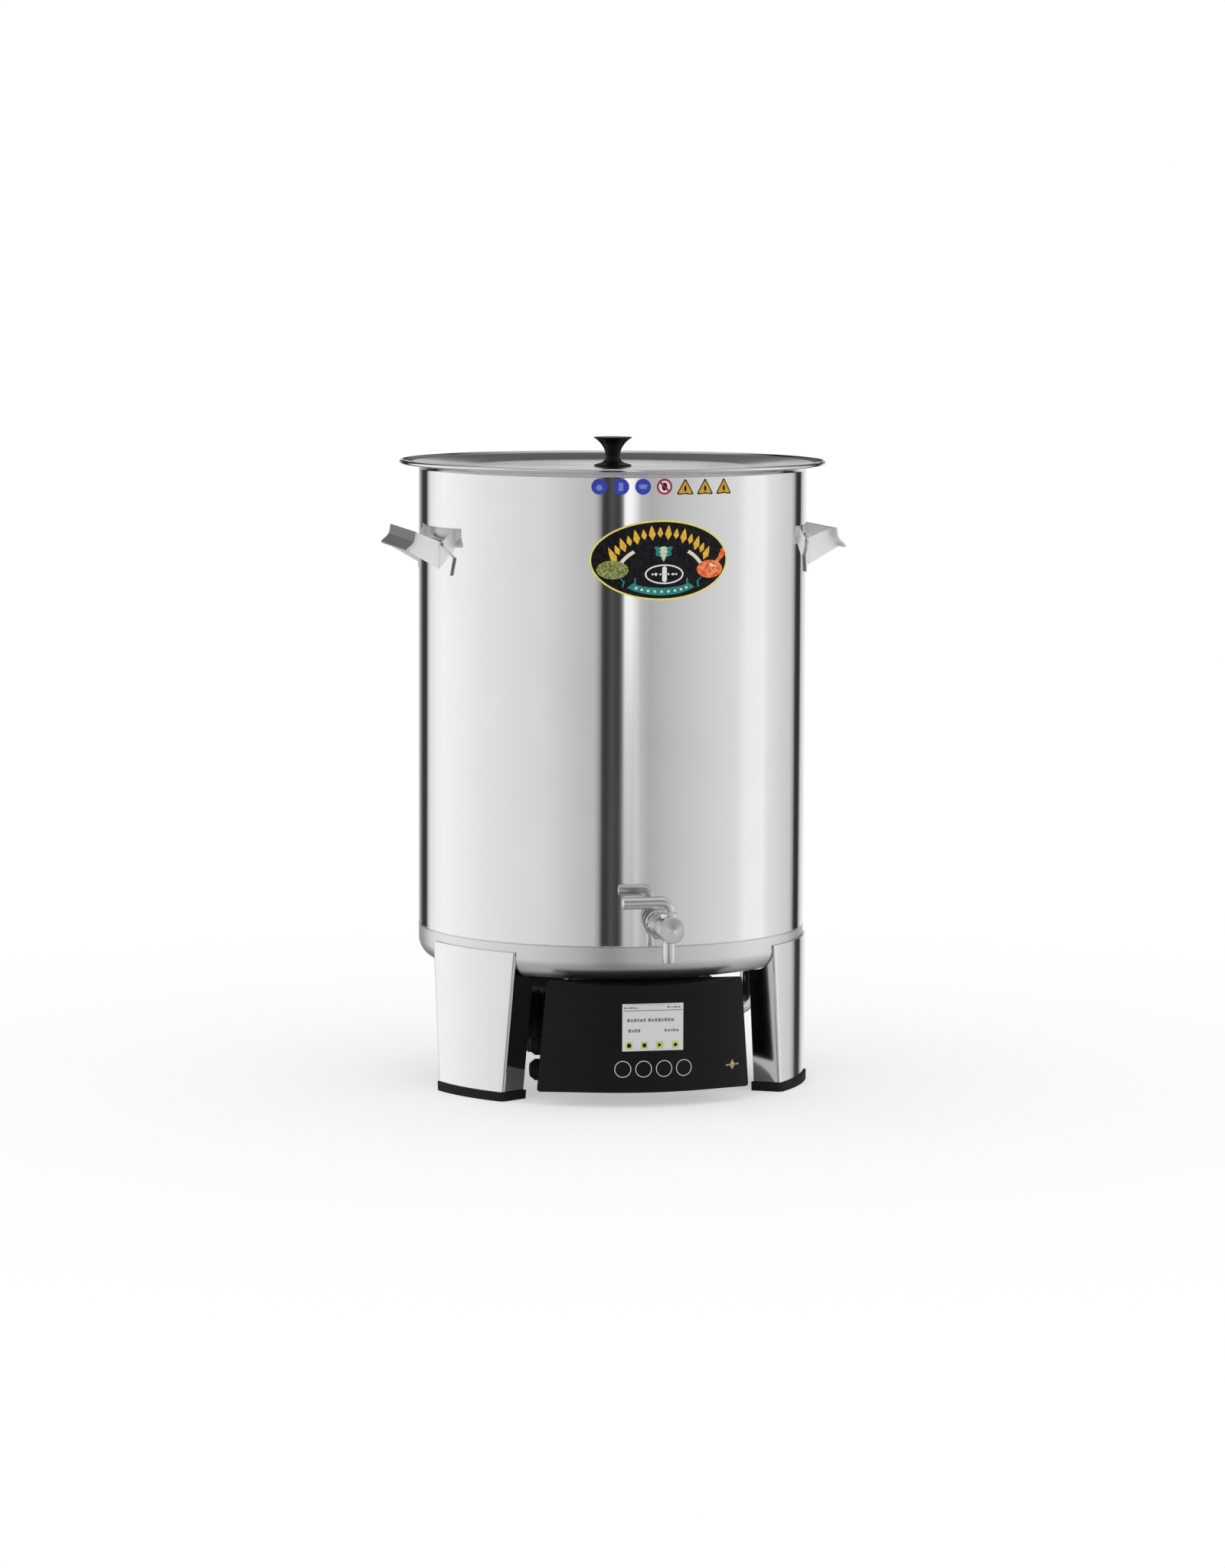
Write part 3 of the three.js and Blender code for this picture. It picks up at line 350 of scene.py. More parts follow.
def on_wall(r, centre_y=0.0):
    """Wraps a flat sheet round the front of a cylinder."""
    def bend(s, z, depth):
        return ((r + depth) * math.sin(s / r), centre_y - (r + depth) * math.cos(s / r), z)
    return bend


# ---- materials ---------------------------------------------------------------------------------
def add(tree, kind, inputs=None, **settings):
    node = tree.nodes.new("ShaderNode" + kind)
    for key, value in settings.items():
        setattr(node, key, value)
    for key, value in (inputs or {}).items():
        if isinstance(value, bpy.types.NodeSocket):
            tree.links.new(value, node.inputs[key])
        else:
            node.inputs[key].default_value = value
    return node


def new_material(name, **sockets):
    made = bpy.data.materials.new(name)
    made.use_nodes = True
    shader = made.node_tree.nodes["Principled BSDF"]
    for key, value in sockets.items():
        shader.inputs[key.replace("_", " ")].default_value = value
    return made, made.node_tree, shader


def connect(shader, **values):
    for key, value in values.items():
        shader.id_data.links.new(value, shader.inputs[key.replace("_", " ")])


def position(tree):
    """The object's own coordinates, in metres."""
    return add(tree, "TexCoord").outputs["Object"]


def noise(tree, scale, stretch=(1, 1, 1), detail=3.0, rough=0.5):
    placed = add(tree, "Mapping", {"Vector": position(tree), "Scale": stretch}).outputs["Vector"]
    made = add(tree, "TexNoise", {"Vector": placed, "Scale": scale, "Detail": detail, "Roughness": rough})
    return made.outputs["Fac"]


def ramp(tree, value, low, high, start=0.3, end=0.7):
    return add(tree, "MapRange", {0: value, 1: start, 2: end, 3: low, 4: high}).outputs[0]


def mix(tree, value, a, b):
    return add(tree, "Mix", {0: value, 6: (*a, 1), 7: (*b, 1)}, data_type="RGBA").outputs[2]


def bump(tree, height, strength, distance=0.0002, **over):
    inputs = {"Height": height, "Strength": strength, "Distance": distance, **over}
    return add(tree, "Bump", inputs).outputs["Normal"]


def metal(name, colour, rough, lines, scale, depth, wave=0.0, aniso=0.0, axis="Z", shiny=1.0):
    """Stainless steel: polishing lines, slow colour and gloss changes, and a faint waviness."""
    made, tree, shader = new_material(name, Metallic=shiny, Anisotropic=aniso)
    slow = noise(tree, 14.0, detail=2.0)
    fine = noise(tree, scale, lines, detail=4.0, rough=0.6)
    gloss = add(tree, "Math", {0: slow, 1: fine}, operation="ADD").outputs[0]
    normal = bump(tree, fine, depth, 0.0001)
    if wave:
        normal = bump(tree, noise(tree, 6.0, (1, 1, 0.25), detail=1.0), wave, 0.004, Normal=normal)
    connect(shader, Base_Color=mix(tree, slow, [c * 0.94 for c in colour], colour), Normal=normal,
            Roughness=ramp(tree, gloss, *rough, 0.7, 1.3))
    if aniso:
        connect(shader, Tangent=add(tree, "Tangent", direction_type="RADIAL", axis=axis).outputs["Tangent"])
    return made


def moulded(name, colour, rough, grain, depth, coat=0.0, shine=0.25):
    """Moulded plastic, rubber or paint: a fine grain, with slow colour and gloss changes."""
    made, tree, shader = new_material(name, Coat_Weight=coat, Coat_Roughness=0.12, Specular_IOR_Level=shine)
    slow = noise(tree, 30.0, detail=3.0)
    lighter = [min(1.0, c * 1.35 + 0.002) for c in colour]
    connect(shader, Base_Color=mix(tree, slow, colour, lighter),
            Roughness=ramp(tree, slow, rough - 0.05, rough + 0.07),
            Normal=bump(tree, noise(tree, grain, detail=2.0), depth, 0.00012))
    return made


def printed(name, colour, second, scale, rough=0.32):
    """Ink on a label, with a fine mottle of a second colour."""
    made, tree, shader = new_material(name, Specular_IOR_Level=0.12)
    fine = noise(tree, scale, detail=3.0)
    connect(shader, Base_Color=mix(tree, ramp(tree, fine, 0.0, 1.0, 0.42, 0.58), colour, second),
            Roughness=ramp(tree, fine, rough - 0.04, rough + 0.06))
    return made


def weld(name):
    """A ground weld bead: ripples along it and a faint change of shade."""
    made, tree, shader = new_material(name, Metallic=1.0)
    ripple = add(tree, "TexNoise", {"Vector": position(tree), "Scale": 420.0, "Detail": 2.0}).outputs["Fac"]
    connect(shader, Base_Color=mix(tree, ripple, (0.80, 0.80, 0.80), (0.73, 0.73, 0.73)),
            Roughness=ramp(tree, ripple, 0.18, 0.36), Normal=bump(tree, ripple, 0.12, 0.0003))
    return made


def crossed(tree, operation, ways, **wave):
    """Two sets of parallel bands that run across each other, as one value."""
    inputs = {"Vector": position(tree), **wave}
    first, second = (add(tree, "TexWave", inputs, bands_direction=way).outputs["Fac"] for way in ways)
    return add(tree, "Math", {0: first, 1: second}, operation=operation).outputs[0]


def woven(name):
    """Fine stainless cloth: wires over and under each other, with open gaps between them."""
    made, tree, shader = new_material(name, Metallic=1.0, Roughness=0.42)
    wires = crossed(tree, "MAXIMUM", "XY", Scale=260.0, Distortion=0.0)
    # The colour darkens from each wire's crest down towards the gaps between wires: painted shade in the
    # weave's hollows.
    connect(shader, Base_Color=mix(tree, wires, (0.30, 0.30, 0.31), (0.72, 0.72, 0.73)),
            Normal=bump(tree, wires, 0.6, 0.0003), Alpha=ramp(tree, wires, 0.0, 1.0, 0.30, 0.45))
    return made


def board(name):
    """A circuit board: solder mask with tracks running two ways."""
    made, tree, shader = new_material(name, Roughness=0.4, Coat_Weight=0.3)
    tracks = crossed(tree, "MULTIPLY", "XZ", Scale=60.0, Distortion=2.0, Detail=1.0)
    connect(shader, Base_Color=mix(tree, ramp(tree, tracks, 0.0, 1.0, 0.4, 0.5), (0.02, 0.11, 0.05),
                                   (0.05, 0.24, 0.10)))
    return made


WALL = metal("wall_steel", (0.87, 0.87, 0.875), (0.055, 0.085), (0.15, 0.15, 4), 700, 0.012, wave=0.02)
PAN = metal("pan_steel", (0.86, 0.86, 0.865), (0.34, 0.42), (0.15, 0.15, 4), 900, 0.05, wave=0.02)
LEG = metal("leg_steel", (0.86, 0.86, 0.865), (0.07, 0.12), (3, 3, 0.2), 900, 0.02, wave=0.02)
HANDLE = metal("handle_steel", (0.88, 0.88, 0.885), (0.08, 0.15), (3, 0.2, 3), 900, 0.03, shiny=0.8)
# A brighter, less metallic copy of the handle steel for the flat cheeks: painted light, standing in for the
# bright reflection they catch.
CHEEK_PAINTED_BRIGHT = metal("handle_cheek_steel_painted_bright", (0.97, 0.97, 0.975), (0.18, 0.26), (3, 0.2, 3), 900, 0.03, shiny=0.3)
LID = metal("lid_steel", (0.78, 0.78, 0.79), (0.09, 0.15), (1, 1, 1), 1200, 0.02, aniso=0.2)
RIM = metal("rim_steel", (0.82, 0.82, 0.83), (0.10, 0.16), (0.2, 0.2, 3), 900, 0.02)
BRUSHED = metal("brushed_steel", (0.72, 0.725, 0.73), (0.26, 0.38), (0.1, 0.1, 6), 900, 0.16)
TURNED = metal("turned_steel", (0.76, 0.76, 0.77), (0.14, 0.20), (1, 1, 1), 1600, 0.05, aniso=0.9, axis="Y")
TURNED_UP = metal("turned_steel_upright", (0.76, 0.76, 0.77), (0.13, 0.21), (0.3, 0.3, 6), 1600, 0.06,
                  aniso=0.3)
LEVER = metal("lever_steel", (0.80, 0.80, 0.805), (0.22, 0.30), (6, 0.4, 0.4), 1400, 0.05)
NICKEL = metal("nickel", (0.62, 0.61, 0.60), (0.18, 0.28), (1, 1, 1), 1500, 0.06)
WELD = weld("weld_bead")
CLOTH = woven("steel_cloth")
PANEL = moulded("coated_sheet", (0.0052, 0.0052, 0.0056), 0.40, 2400, 0.08, shine=0.12)
PLASTIC = moulded("black_plastic", (0.006, 0.006, 0.0065), 0.45, 1800, 0.16, shine=0.12)
KNOB = moulded("gloss_plastic", (0.003, 0.003, 0.0032), 0.30, 900, 0.015, coat=0.08, shine=0.15)
RUBBER = moulded("black_rubber", (0.008, 0.008, 0.0085), 0.66, 1500, 0.25, shine=0.15)
SILICONE = moulded("pale_silicone", (0.66, 0.63, 0.57), 0.55, 900, 0.05)
BOARD = board("circuit_board")
SCREEN = printed("screen_face", (0.60, 0.61, 0.62), (0.57, 0.58, 0.59), 3000, 0.22)
INK = printed("screen_ink", (0.17, 0.175, 0.18), (0.22, 0.225, 0.23), 3000)
ICON = printed("screen_icon", (0.52, 0.55, 0.16), (0.46, 0.50, 0.13), 2000)
MARK = printed("key_mark", (0.62, 0.62, 0.61), (0.54, 0.54, 0.53), 1500)
GOLD = printed("label_gold", (0.74, 0.46, 0.06), (0.58, 0.32, 0.03), 500)
CREST = printed("panel_crest", (0.52, 0.44, 0.26), (0.24, 0.19, 0.09), 700)
BORDER = printed("label_border", (0.74, 0.68, 0.18), (0.66, 0.58, 0.12), 500)
FIELD = printed("label_field", (0.004, 0.004, 0.0055), (0.010, 0.009, 0.012), 300)
PALE = printed("label_pale", (0.72, 0.70, 0.58), (0.60, 0.58, 0.46), 900)
TEAL = printed("label_teal", (0.012, 0.17, 0.15), (0.03, 0.24, 0.21), 500)
LEAF = printed("label_leaf", (0.10, 0.13, 0.025), (0.30, 0.32, 0.12), 520)
CONE = printed("label_cone", (0.36, 0.48, 0.26), (0.62, 0.68, 0.48), 600)
AMBER = printed("label_amber", (0.62, 0.09, 0.03), (0.80, 0.27, 0.10), 260)
BLUE = printed("sticker_blue", (0.035, 0.05, 0.36), (0.05, 0.07, 0.42), 700)
SKY = printed("sticker_sky", (0.22, 0.27, 0.62), (0.16, 0.21, 0.55), 700)
RED = printed("sticker_red", (0.38, 0.02, 0.07), (0.32, 0.02, 0.06), 700)
YELLOW = printed("sticker_yellow", (0.66, 0.38, 0.03), (0.56, 0.30, 0.03), 700)
WHITE = printed("sticker_white", (0.74, 0.74, 0.73), (0.68, 0.68, 0.67), 700)


# ---- pieces ------------------------------------------------------------------------------------
def show(name, shape, material, node=None, like=None, bevel=0.0, angle=32.0, origin=(0.0, -AXIS_Y, 0.0)):
    """Adds a piece. It replaces a CAD node, or rides with the body of the node it is like."""
    owner = node or like
    mesh = bpy.data.meshes.new(name)
    mesh.from_pydata((shape.points - origin) * MM, [], shape.faces)
    mesh.validate()
    work = bmesh.new()
    work.from_mesh(mesh)
    bmesh.ops.remove_doubles(work, verts=work.verts, dist=1e-7)
    bmesh.ops.recalc_face_normals(work, faces=work.faces)
    work.to_mesh(mesh)
    work.free()
    mesh.shade_smooth()
    mesh.set_sharp_from_angle(angle=math.radians(angle))
    mesh.materials.append(material)
    piece = bpy.data.objects.new(name, mesh)
    piece.location = (Vector(origin) + Vector((0, AXIS_Y, 0))) * MM
    bpy.context.scene.collection.objects.link(piece)
    if bevel:
        edge = piece.modifiers.new("edge", "BEVEL")
        edge.width = bevel * MM
        edge.segments = 3
        edge.limit_method = "ANGLE"
        edge.angle_limit = math.radians(45)
        edge.harden_normals = True
    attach(piece, NODES[owner]["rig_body"])
    if node:
        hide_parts(node)


def decal(name, outline, material, like, bend, lift, holes=(), grid=4.0):
    """A thin printed shape, a little proud of the surface under it."""
    film = plate(outline, 0.05, lambda s, z, d: bend(s, z, lift + d), holes, grid)
    show(name, film, material, like=like, angle=60)


def on_panel(shape, degrees=0.0, z=0.0):
    """Places a shape made facing front at the origin onto the control panel's arc."""
    return shape.turn(degrees).move(0, PANEL_ARC_Y, z).turn(PANEL_TURN)


# kettle: wall, rim, bottom pan and the weld between them
def make_kettle():
    inner, bead, corner = KETTLE_R - SHEET, RIM_R - BEAD_R, (KETTLE_R - CORNER_R, BASE_Z + CORNER_R)
    wall = [
        (KETTLE_R, SEAM_Z + 0.3), (KETTLE_R, WALL_TOP_Z, 2.0), (KETTLE_R + 2.2, WALL_TOP_Z + 3.2, 2.0),
        (bead - 1, RIM_Z - BEAD_R, 0.3), *arc(bead, RIM_Z, BEAD_R - 0.001, -90, 90, 24),
        (bead - BEAD_R, RIM_Z + 0.3, 0.6), (KETTLE_R + 2.6, WALL_TOP_Z + 4.9, 1.0),
        (KETTLE_R - 0.4, WALL_TOP_Z + 3.8, 1.2), (inner, WALL_TOP_Z + 1.5, 1.2), (inner, SEAM_Z + 0.3),
    ]
    show("kettle_wall_skin", lathe(rounded(wall)), WALL, "kettle_wall")
    pan = [
        (0, BASE_Z), *arc(*corner, CORNER_R, -90, 0, 20), (KETTLE_R, SEAM_Z - 0.4), (inner, SEAM_Z - 0.4),
        *arc(*corner, CORNER_R - SHEET, 0, -90, 20), (0, BASE_Z + SHEET),
    ]
    show("kettle_pan_skin", lathe(pan), PAN, "kettle_base")
    seam = [
        (inner - 0.2, SEAM_Z - 0.9), (KETTLE_R, SEAM_Z - 1.0), *arc(KETTLE_R - 0.35, SEAM_Z, 0.6, -45, 45, 8),
        (KETTLE_R, SEAM_Z + 1.0), (inner - 0.2, SEAM_Z + 0.9),
    ]
    show("kettle_seam_weld", lathe(seam), WELD, like="kettle_wall")


# legs and their rubber shoes
def leg_half(z):
    return LEG_HALF_BOTTOM + (LEG_HALF_TOP - LEG_HALF_BOTTOM) * z / LEG_TOP_Z


def leg_line(half, beyond=0.0, count=15):
    """The middle line of a leg's channel in plan, from the end of one flange to the other."""
    r = LEG_R - LEG_SHEET / 2
    side = LEG_R * math.sin(math.radians(half)) - LEG_SHEET / 2
    corner = math.degrees(math.asin(side / r))
    edge_y = -r * math.cos(math.radians(corner))
    end_y = -LEG_R * math.cos(math.radians(half)) + FLANGE + beyond
    face = arc(0, 0, r, -90 - (corner - 2.2), -90 + (corner - 2.2), 16)
    bent = [(-side, end_y), (-side, edge_y, 3.0), *face, (side, edge_y, 3.0), (side, end_y)]
    bent = rounded(bent, 0.0, False, 8)
    flange = [(-side, end_y + (bent[1][1] - end_y) * i / count) for i in range(count)]
    return [*flange, *bent[1:-1], *((-x, y) for x, y in reversed(flange))]


def pan_under(r):
    """Height of the kettle's underside at a radius, with the leg's clearance."""
    clear = 0.6
    if r <= KETTLE_R - CORNER_R:
        return BASE_Z - clear
    if r >= KETTLE_R + clear:
        return LEG_TOP_Z
    reach = math.sqrt((CORNER_R + clear) ** 2 - (r - KETTLE_R + CORNER_R) ** 2)
    return min(LEG_TOP_Z, BASE_Z + CORNER_R - reach)


def make_leg(side, degrees):
    low, rows = 2.0, []
    for share in np.linspace(0, 1, 9):
        heights = [LEG_TOP_Z] * len(leg_line(leg_half(low)))
        for _ in range(3):  # the top edge and the taper depend on each other
            places = [leg_line(leg_half(low + share * (top - low)))[i] for i, top in enumerate(heights)]
            heights = [pan_under(math.hypot(x, y)) for x, y in places]
        rows.append([(x, y, low + share * (top - low)) for (x, y), top in zip(places, heights)])
    show(f"leg_{side}_sheet", strip(rows, LEG_SHEET).turn(degrees), LEG, f"leg_{side}", bevel=0.3, angle=40)
    rows = [[(x, y, z) for x, y in leg_line(leg_half(z), FOOT_PROUD)] for z in (0.0, FOOT_H)]
    shoe = strip(rows, LEG_SHEET + 2 * FOOT_PROUD).turn(degrees)
    show(f"foot_{side}_shoe", shoe, RUBBER, f"foot_{side}", bevel=0.9, angle=40)


# handles: a dished grip with a rolled lip, two cheeks, and the pads that are welded to the wall
def make_handle(side, degrees):
    sheet, roll_half, (top_r, top_z), (lip_r, lip_z) = 1.8, 0.85, (220.0, 574.5), (229.6, 557.0)
    sag = ((top_r + lip_r) / 2 - 2.6, (top_z + lip_z) / 2 - 1.4)
    bow = [(p.x, p.y) for p in spline([(top_r, top_z, 0), (*sag, 0), (lip_r, lip_z, 0)], 12)]
    line = np.array([*bow[:-1], *arc(227.9, 556.1, 1.0, 20, -235, 18)])
    in_bow = (np.arange(len(line)) < len(bow) - 1)[:, None]
    section = [*(line + normals(line) * np.where(in_bow, 0, roll_half)),
               *(line - normals(line) * np.where(in_bow, sheet, roll_half))[::-1]]
    sheets, cheeks = [prism(section, 0.2 - GRIP_HALF, GRIP_HALF - 0.2).swap("x", "z", "y")], []

    # the cheeks run towards these points inside the wall, and stop at its face
    aim_r, low_z, high_z = 193.0, 536.5, 563.7
    reach = math.sqrt((KETTLE_R + 0.5) ** 2 - CHEEK_HALF ** 2)
    cheek = rounded([
        (reach, lip_z - 1 + (low_z - lip_z) / (aim_r - lip_r) * (reach - lip_r), 1.0),
        (lip_r - 1, lip_z - 1, 1.0), *[(r - 0.1, z) for r, z in bow[::-1]],
        (reach, top_z + (high_z - top_z) / (aim_r - top_r) * (reach - top_r), 1.0),
    ], 0.0, True, 4)
    weld_r, weld_y = KETTLE_R + 2.0, CHEEK_HALF + 0.6
    for way in (-1, 1):
        edges = sorted((way * CHEEK_HALF, way * (CHEEK_HALF - 2.0)))
        cheeks.append(prism(cheek, *edges).swap("x", "z", "y"))
        near, far = (KETTLE_R * math.radians(way * angle) for angle in (16.8, 24.9))
        pad = rounded([(near, 529.8), (far - way * 5.5, 529.8), (far, 548.0), (near, 561.8)], 1.2, True, 4)
        sheets.append(plate(pad, 2.0, on_wall(KETTLE_R + GAP), grid=3.0).turn(90))
        bead = [(math.sqrt(weld_r ** 2 - weld_y ** 2), way * weld_y, z) for z in np.linspace(538, 562, 9)]
        sheets.append(sweep(bead, 1.3, 12, 0))
    node = f"handle_{side}"
    show(node + "_grip_and_pads", join(sheets).turn(degrees), HANDLE, node, bevel=0.22, angle=38)
    # the cheeks wear the brighter copy of the handle steel, which is painted light
    show(node + "_cheeks", join(cheeks).turn(degrees), CHEEK_PAINTED_BRIGHT, like=node, bevel=0.22, angle=38)


# lid with its knob
def make_lid():
    centre_z, seat, top = 636.8, RIM_Z - 0.9, 666.5
    profile = [
        (2.9, centre_z), (143, centre_z + 0.2, 9), (202.5, centre_z + 4.4, 3), (206, seat + 1.1, 1),
        (208, seat + 0.9, 0.4), (208, seat, 0.4), (206, seat - 0.1, 0.5), (196.4, centre_z + 2.1, 2),
        (196.4, centre_z - 7, 0.4), (195.2, centre_z - 7, 0.4), (195.2, centre_z + 1.8, 0.3),
        (150, centre_z - 0.4, 8), (2.9, centre_z - 1.2),
    ]
    sheet = lathe(rounded(profile, 0.0, True, 8), 256)
    show("lid_sheet", sheet, LID, "lid", origin=(0, 0, centre_z), angle=50)

    base = centre_z + GAP
    flank = ((19.6, 0.7), (15.8, 1.8), (11.3, 3.3), (8.4, 5.8), (7.5, 9),
             (7.8, 12.4), (8.6, 16), (10.4, 19.6), (13.2, 23.4), (17.4, 27.3))
    spool = [(0, base + 14), (2.7, base + 14), (2.7, base), (19.4, base, 0.3),
             *[(p.x, p.y) for p in spline([(r, base + z, 0) for r, z in flank])],
             (19.8, top - 0.8, 0.3), (19.5, top, 0.4), (12, top - 0.15, 6), (0, top - 0.5)]
    show("lid_knob_spool", lathe(rounded(spool, 0.0, False), 128), KNOB, "lid_knob")

    head = centre_z - 1.55
    screw = [(0, head - 3), (4, head - 3, 0.8), (5, head - 1.5, 0.8), (5, head), (2.3, head),
             (2.3, head + 14), (0, head + 14)]
    show("lid_screw_head", lathe(rounded(screw, 0.0, False), 48), NICKEL, "lid_knob_screw")


# inside the kettle
def thread(r, low, high, pitch=1.6, depth=0.55):
    """Profile points of a thread between two heights."""
    starts = [low + i * pitch for i in range(math.ceil((high - low) / pitch) - 1)]
    turn = ((depth, 0), (0, 0.35), (0, 0.5), (depth, 0.9))
    return [(r - cut, z + share * pitch) for z in starts for cut, share in turn]


def perforated(node, r, low):
    """A round sieve plate with a bore for the centre rod and rows of small holes."""
    bore, pitch, hole, thick = 7.0, 6.4, 1.7, 2.0
    row = pitch * 0.866
    reach = range(-int(r / row) - 1, int(r / row) + 2)
    centres = [((i + 0.5 * (j % 2)) * pitch, j * row) for j in reach for i in reach]
    centres = [c for c in centres if bore + hole + 3 < math.hypot(*c) < r - hole - 4]
    holes = [circle(0, 0, bore, 40), *[circle(*c, hole, 10) for c in centres]]
    many = np.array(centres), hole
    disc = plate(circle(0, 0, r, 160), thick, lambda s, t, d: (s, t, low + d), holes, many=many)
    disc.faces = [f for f in disc.faces if math.hypot(*disc.points[list(f)].mean(0)[:2]) > bore * 0.9]
    show(node + "_plate", disc, BRUSHED, node, angle=40)


def make_inside():
    top, inside = 604.0, PIPE_R - 1.5
    bar = [(0, FLOOR_Z), (15, FLOOR_Z), (15, FLOOR_Z + 2.5), (9, FLOOR_Z + 4), (6, FLOOR_Z + 7), (6, 545),
           *thread(6.0, 546, top - 3), (5.4, top - 1.5), (4.5, top), (0, top)]
    show("centre_rod_bar", lathe(bar, 64), TURNED_UP, "centre_rod", angle=28)

    wall = [
        (PIPE_R, PIPE_LOW_Z, 0.4), (PIPE_R, PIPE_TOP_Z - 3, 0.6), (PIPE_R + 3.2, PIPE_TOP_Z - 2.6, 0.6),
        (PIPE_R + 4, PIPE_TOP_Z - 1, 0.8), (PIPE_R + 2.6, PIPE_TOP_Z, 0.8), (inside, PIPE_TOP_Z, 0.8),
        (inside, LEDGE_HIGH_Z, 0.2), (inside - 2.2, LEDGE_HIGH_Z), (inside - 2.2, LEDGE_HIGH_Z - 1.5),
        (inside, LEDGE_HIGH_Z - 3.5), (inside, LEDGE_LOW_Z), (inside - 9, LEDGE_LOW_Z),
        (inside - 9, LEDGE_LOW_Z - 2), (inside, LEDGE_LOW_Z - 2), (inside, PIPE_LOW_Z),
    ]
    show("malt_pipe_wall", lathe(rounded(wall, 0.3, True, 4)), BRUSHED, "malt_pipe", angle=35)
    for name, degrees in (("left", 180), ("right", 0)):
        ring = tube(8.2, 5.6, PIPE_R - 2.2, PIPE_R + 0.9, 0.4, 48)
        hole = rod(5.7, PIPE_R - 1.9, PIPE_R + 0.35, 0.1, 48)
        for kind, shape, material in (("eyelet", ring, TURNED_UP), ("eye", hole, RUBBER)):
            placed = shape.right().move(z=PIPE_TOP_Z - 26).turn(degrees)
            show(f"malt_pipe_{kind}_{name}", placed, material, like="malt_pipe")
    seal = tube(PIPE_R + 2.4, PIPE_R - 4, FLOOR_Z, PIPE_LOW_Z - GAP, 0.9, ROUND)
    show("malt_pipe_seal_ring", seal, SILICONE, "malt_pipe_seal")

    upper = LEDGE_HIGH_Z + 1.5
    perforated("lower_sieve", PIPE_R - 4.5, LEDGE_LOW_Z + GAP)
    perforated("upper_sieve", PIPE_R - 2.2, upper)
    for name, r, low in (("lower_fine_screen", PIPE_R - 4.7, LEDGE_LOW_Z + 2.7),
                         ("upper_fine_screen", PIPE_R - 2.4, LEDGE_HIGH_Z + GAP)):
        show(f"{name}_cloth", tube(r - 2.5, 9.0, low + 0.25, low + 0.55, 0.0, 128), CLOTH, name)
        show(f"{name}_rim", tube(r, r - 4, low, low + 0.8, 0.3, 160), BRUSHED, like=name)
        show(f"{name}_eye", tube(11, 7, low, low + 0.8, 0.3, 64), BRUSHED, like=name)

    low = PIPE_TOP_Z + GAP
    section = [(-16, low, 0.6), (-16, low + 14, 3.0), (16, low + 14, 3.0), (16, low, 0.6),
               (14, low, 0.6), (14, low + 12, 1.4), (-14, low + 12, 1.4), (-14, low, 0.6)]
    bracket = prism(rounded(section, 0.0, True, 6), -PIPE_R - 6, PIPE_R + 6).swap("z", "x", "y")
    bracket += tube(12, 7.0, upper + 2 + GAP, low + 13, 0.5, 96)
    bracket += tube(14.5, 12.0, low + 11.2, low + 12.2, 0.4, 96)
    show("hold_down_bar", bracket, BRUSHED, "hold_down_bracket", angle=35)

    low += 14 + GAP
    nut = tube(12, 6.6, low, low + 15, 1.2, 64)
    wing = ((9, 3), (20, 6), (33, 17), (36, 24), (30, 27), (22, 21), (9, 14))
    for way in (-1, 1):
        outline = rounded([(way * x, low + z) for x, z in wing], 4.0, True, 6)
        nut += prism(outline, -2.5, 2.5).swap("x", "z", "y")
    show("wing_nut_casting", nut, TURNED_UP, "wing_nut", bevel=0.9, angle=40)


def make_heater():
    r, z, first, last = 166.0, 148.0, 82.0, 98.0
    span = 360 - (last - first) - 8
    ring = [(last + 4 + span * i / 40, z) for i in range(41)]
    route = [(last, 116), (last, 130), (last + 0.3, z - 6), *ring, (first - 0.3, z - 6), (first, 130),
             (first, 116)]
    coil = sweep([(*polar(r, degrees), height) for degrees, height in route], 4.25, 24, 6)
    show("heating_coil_tube", coil, NICKEL, "heating_coil", angle=40)
    low = BASE_Z - 3.35
    flange = prism(rounded(rectangle(154, -34, 178, 34), 4.0), low, low + 3).turn(90)
    for degrees in (first, last):
        flange += hex_nut(17.3, 4.9, 120, low).move(x=r).turn(degrees)
    show("heater_flange_plate", flange, NICKEL, "heater_flange", bevel=0.3)
    probe = turned([(0, 108), (4, 108), (4, 118), (8, 118), (8, BASE_Z - GAP), (3, BASE_Z - GAP), (3, 148),
                    (1.5, 150), (0, 150)], 0.6, 48)
    show("sensor_probe", probe.move(x=125).turn(60), NICKEL, "temperature_sensor")


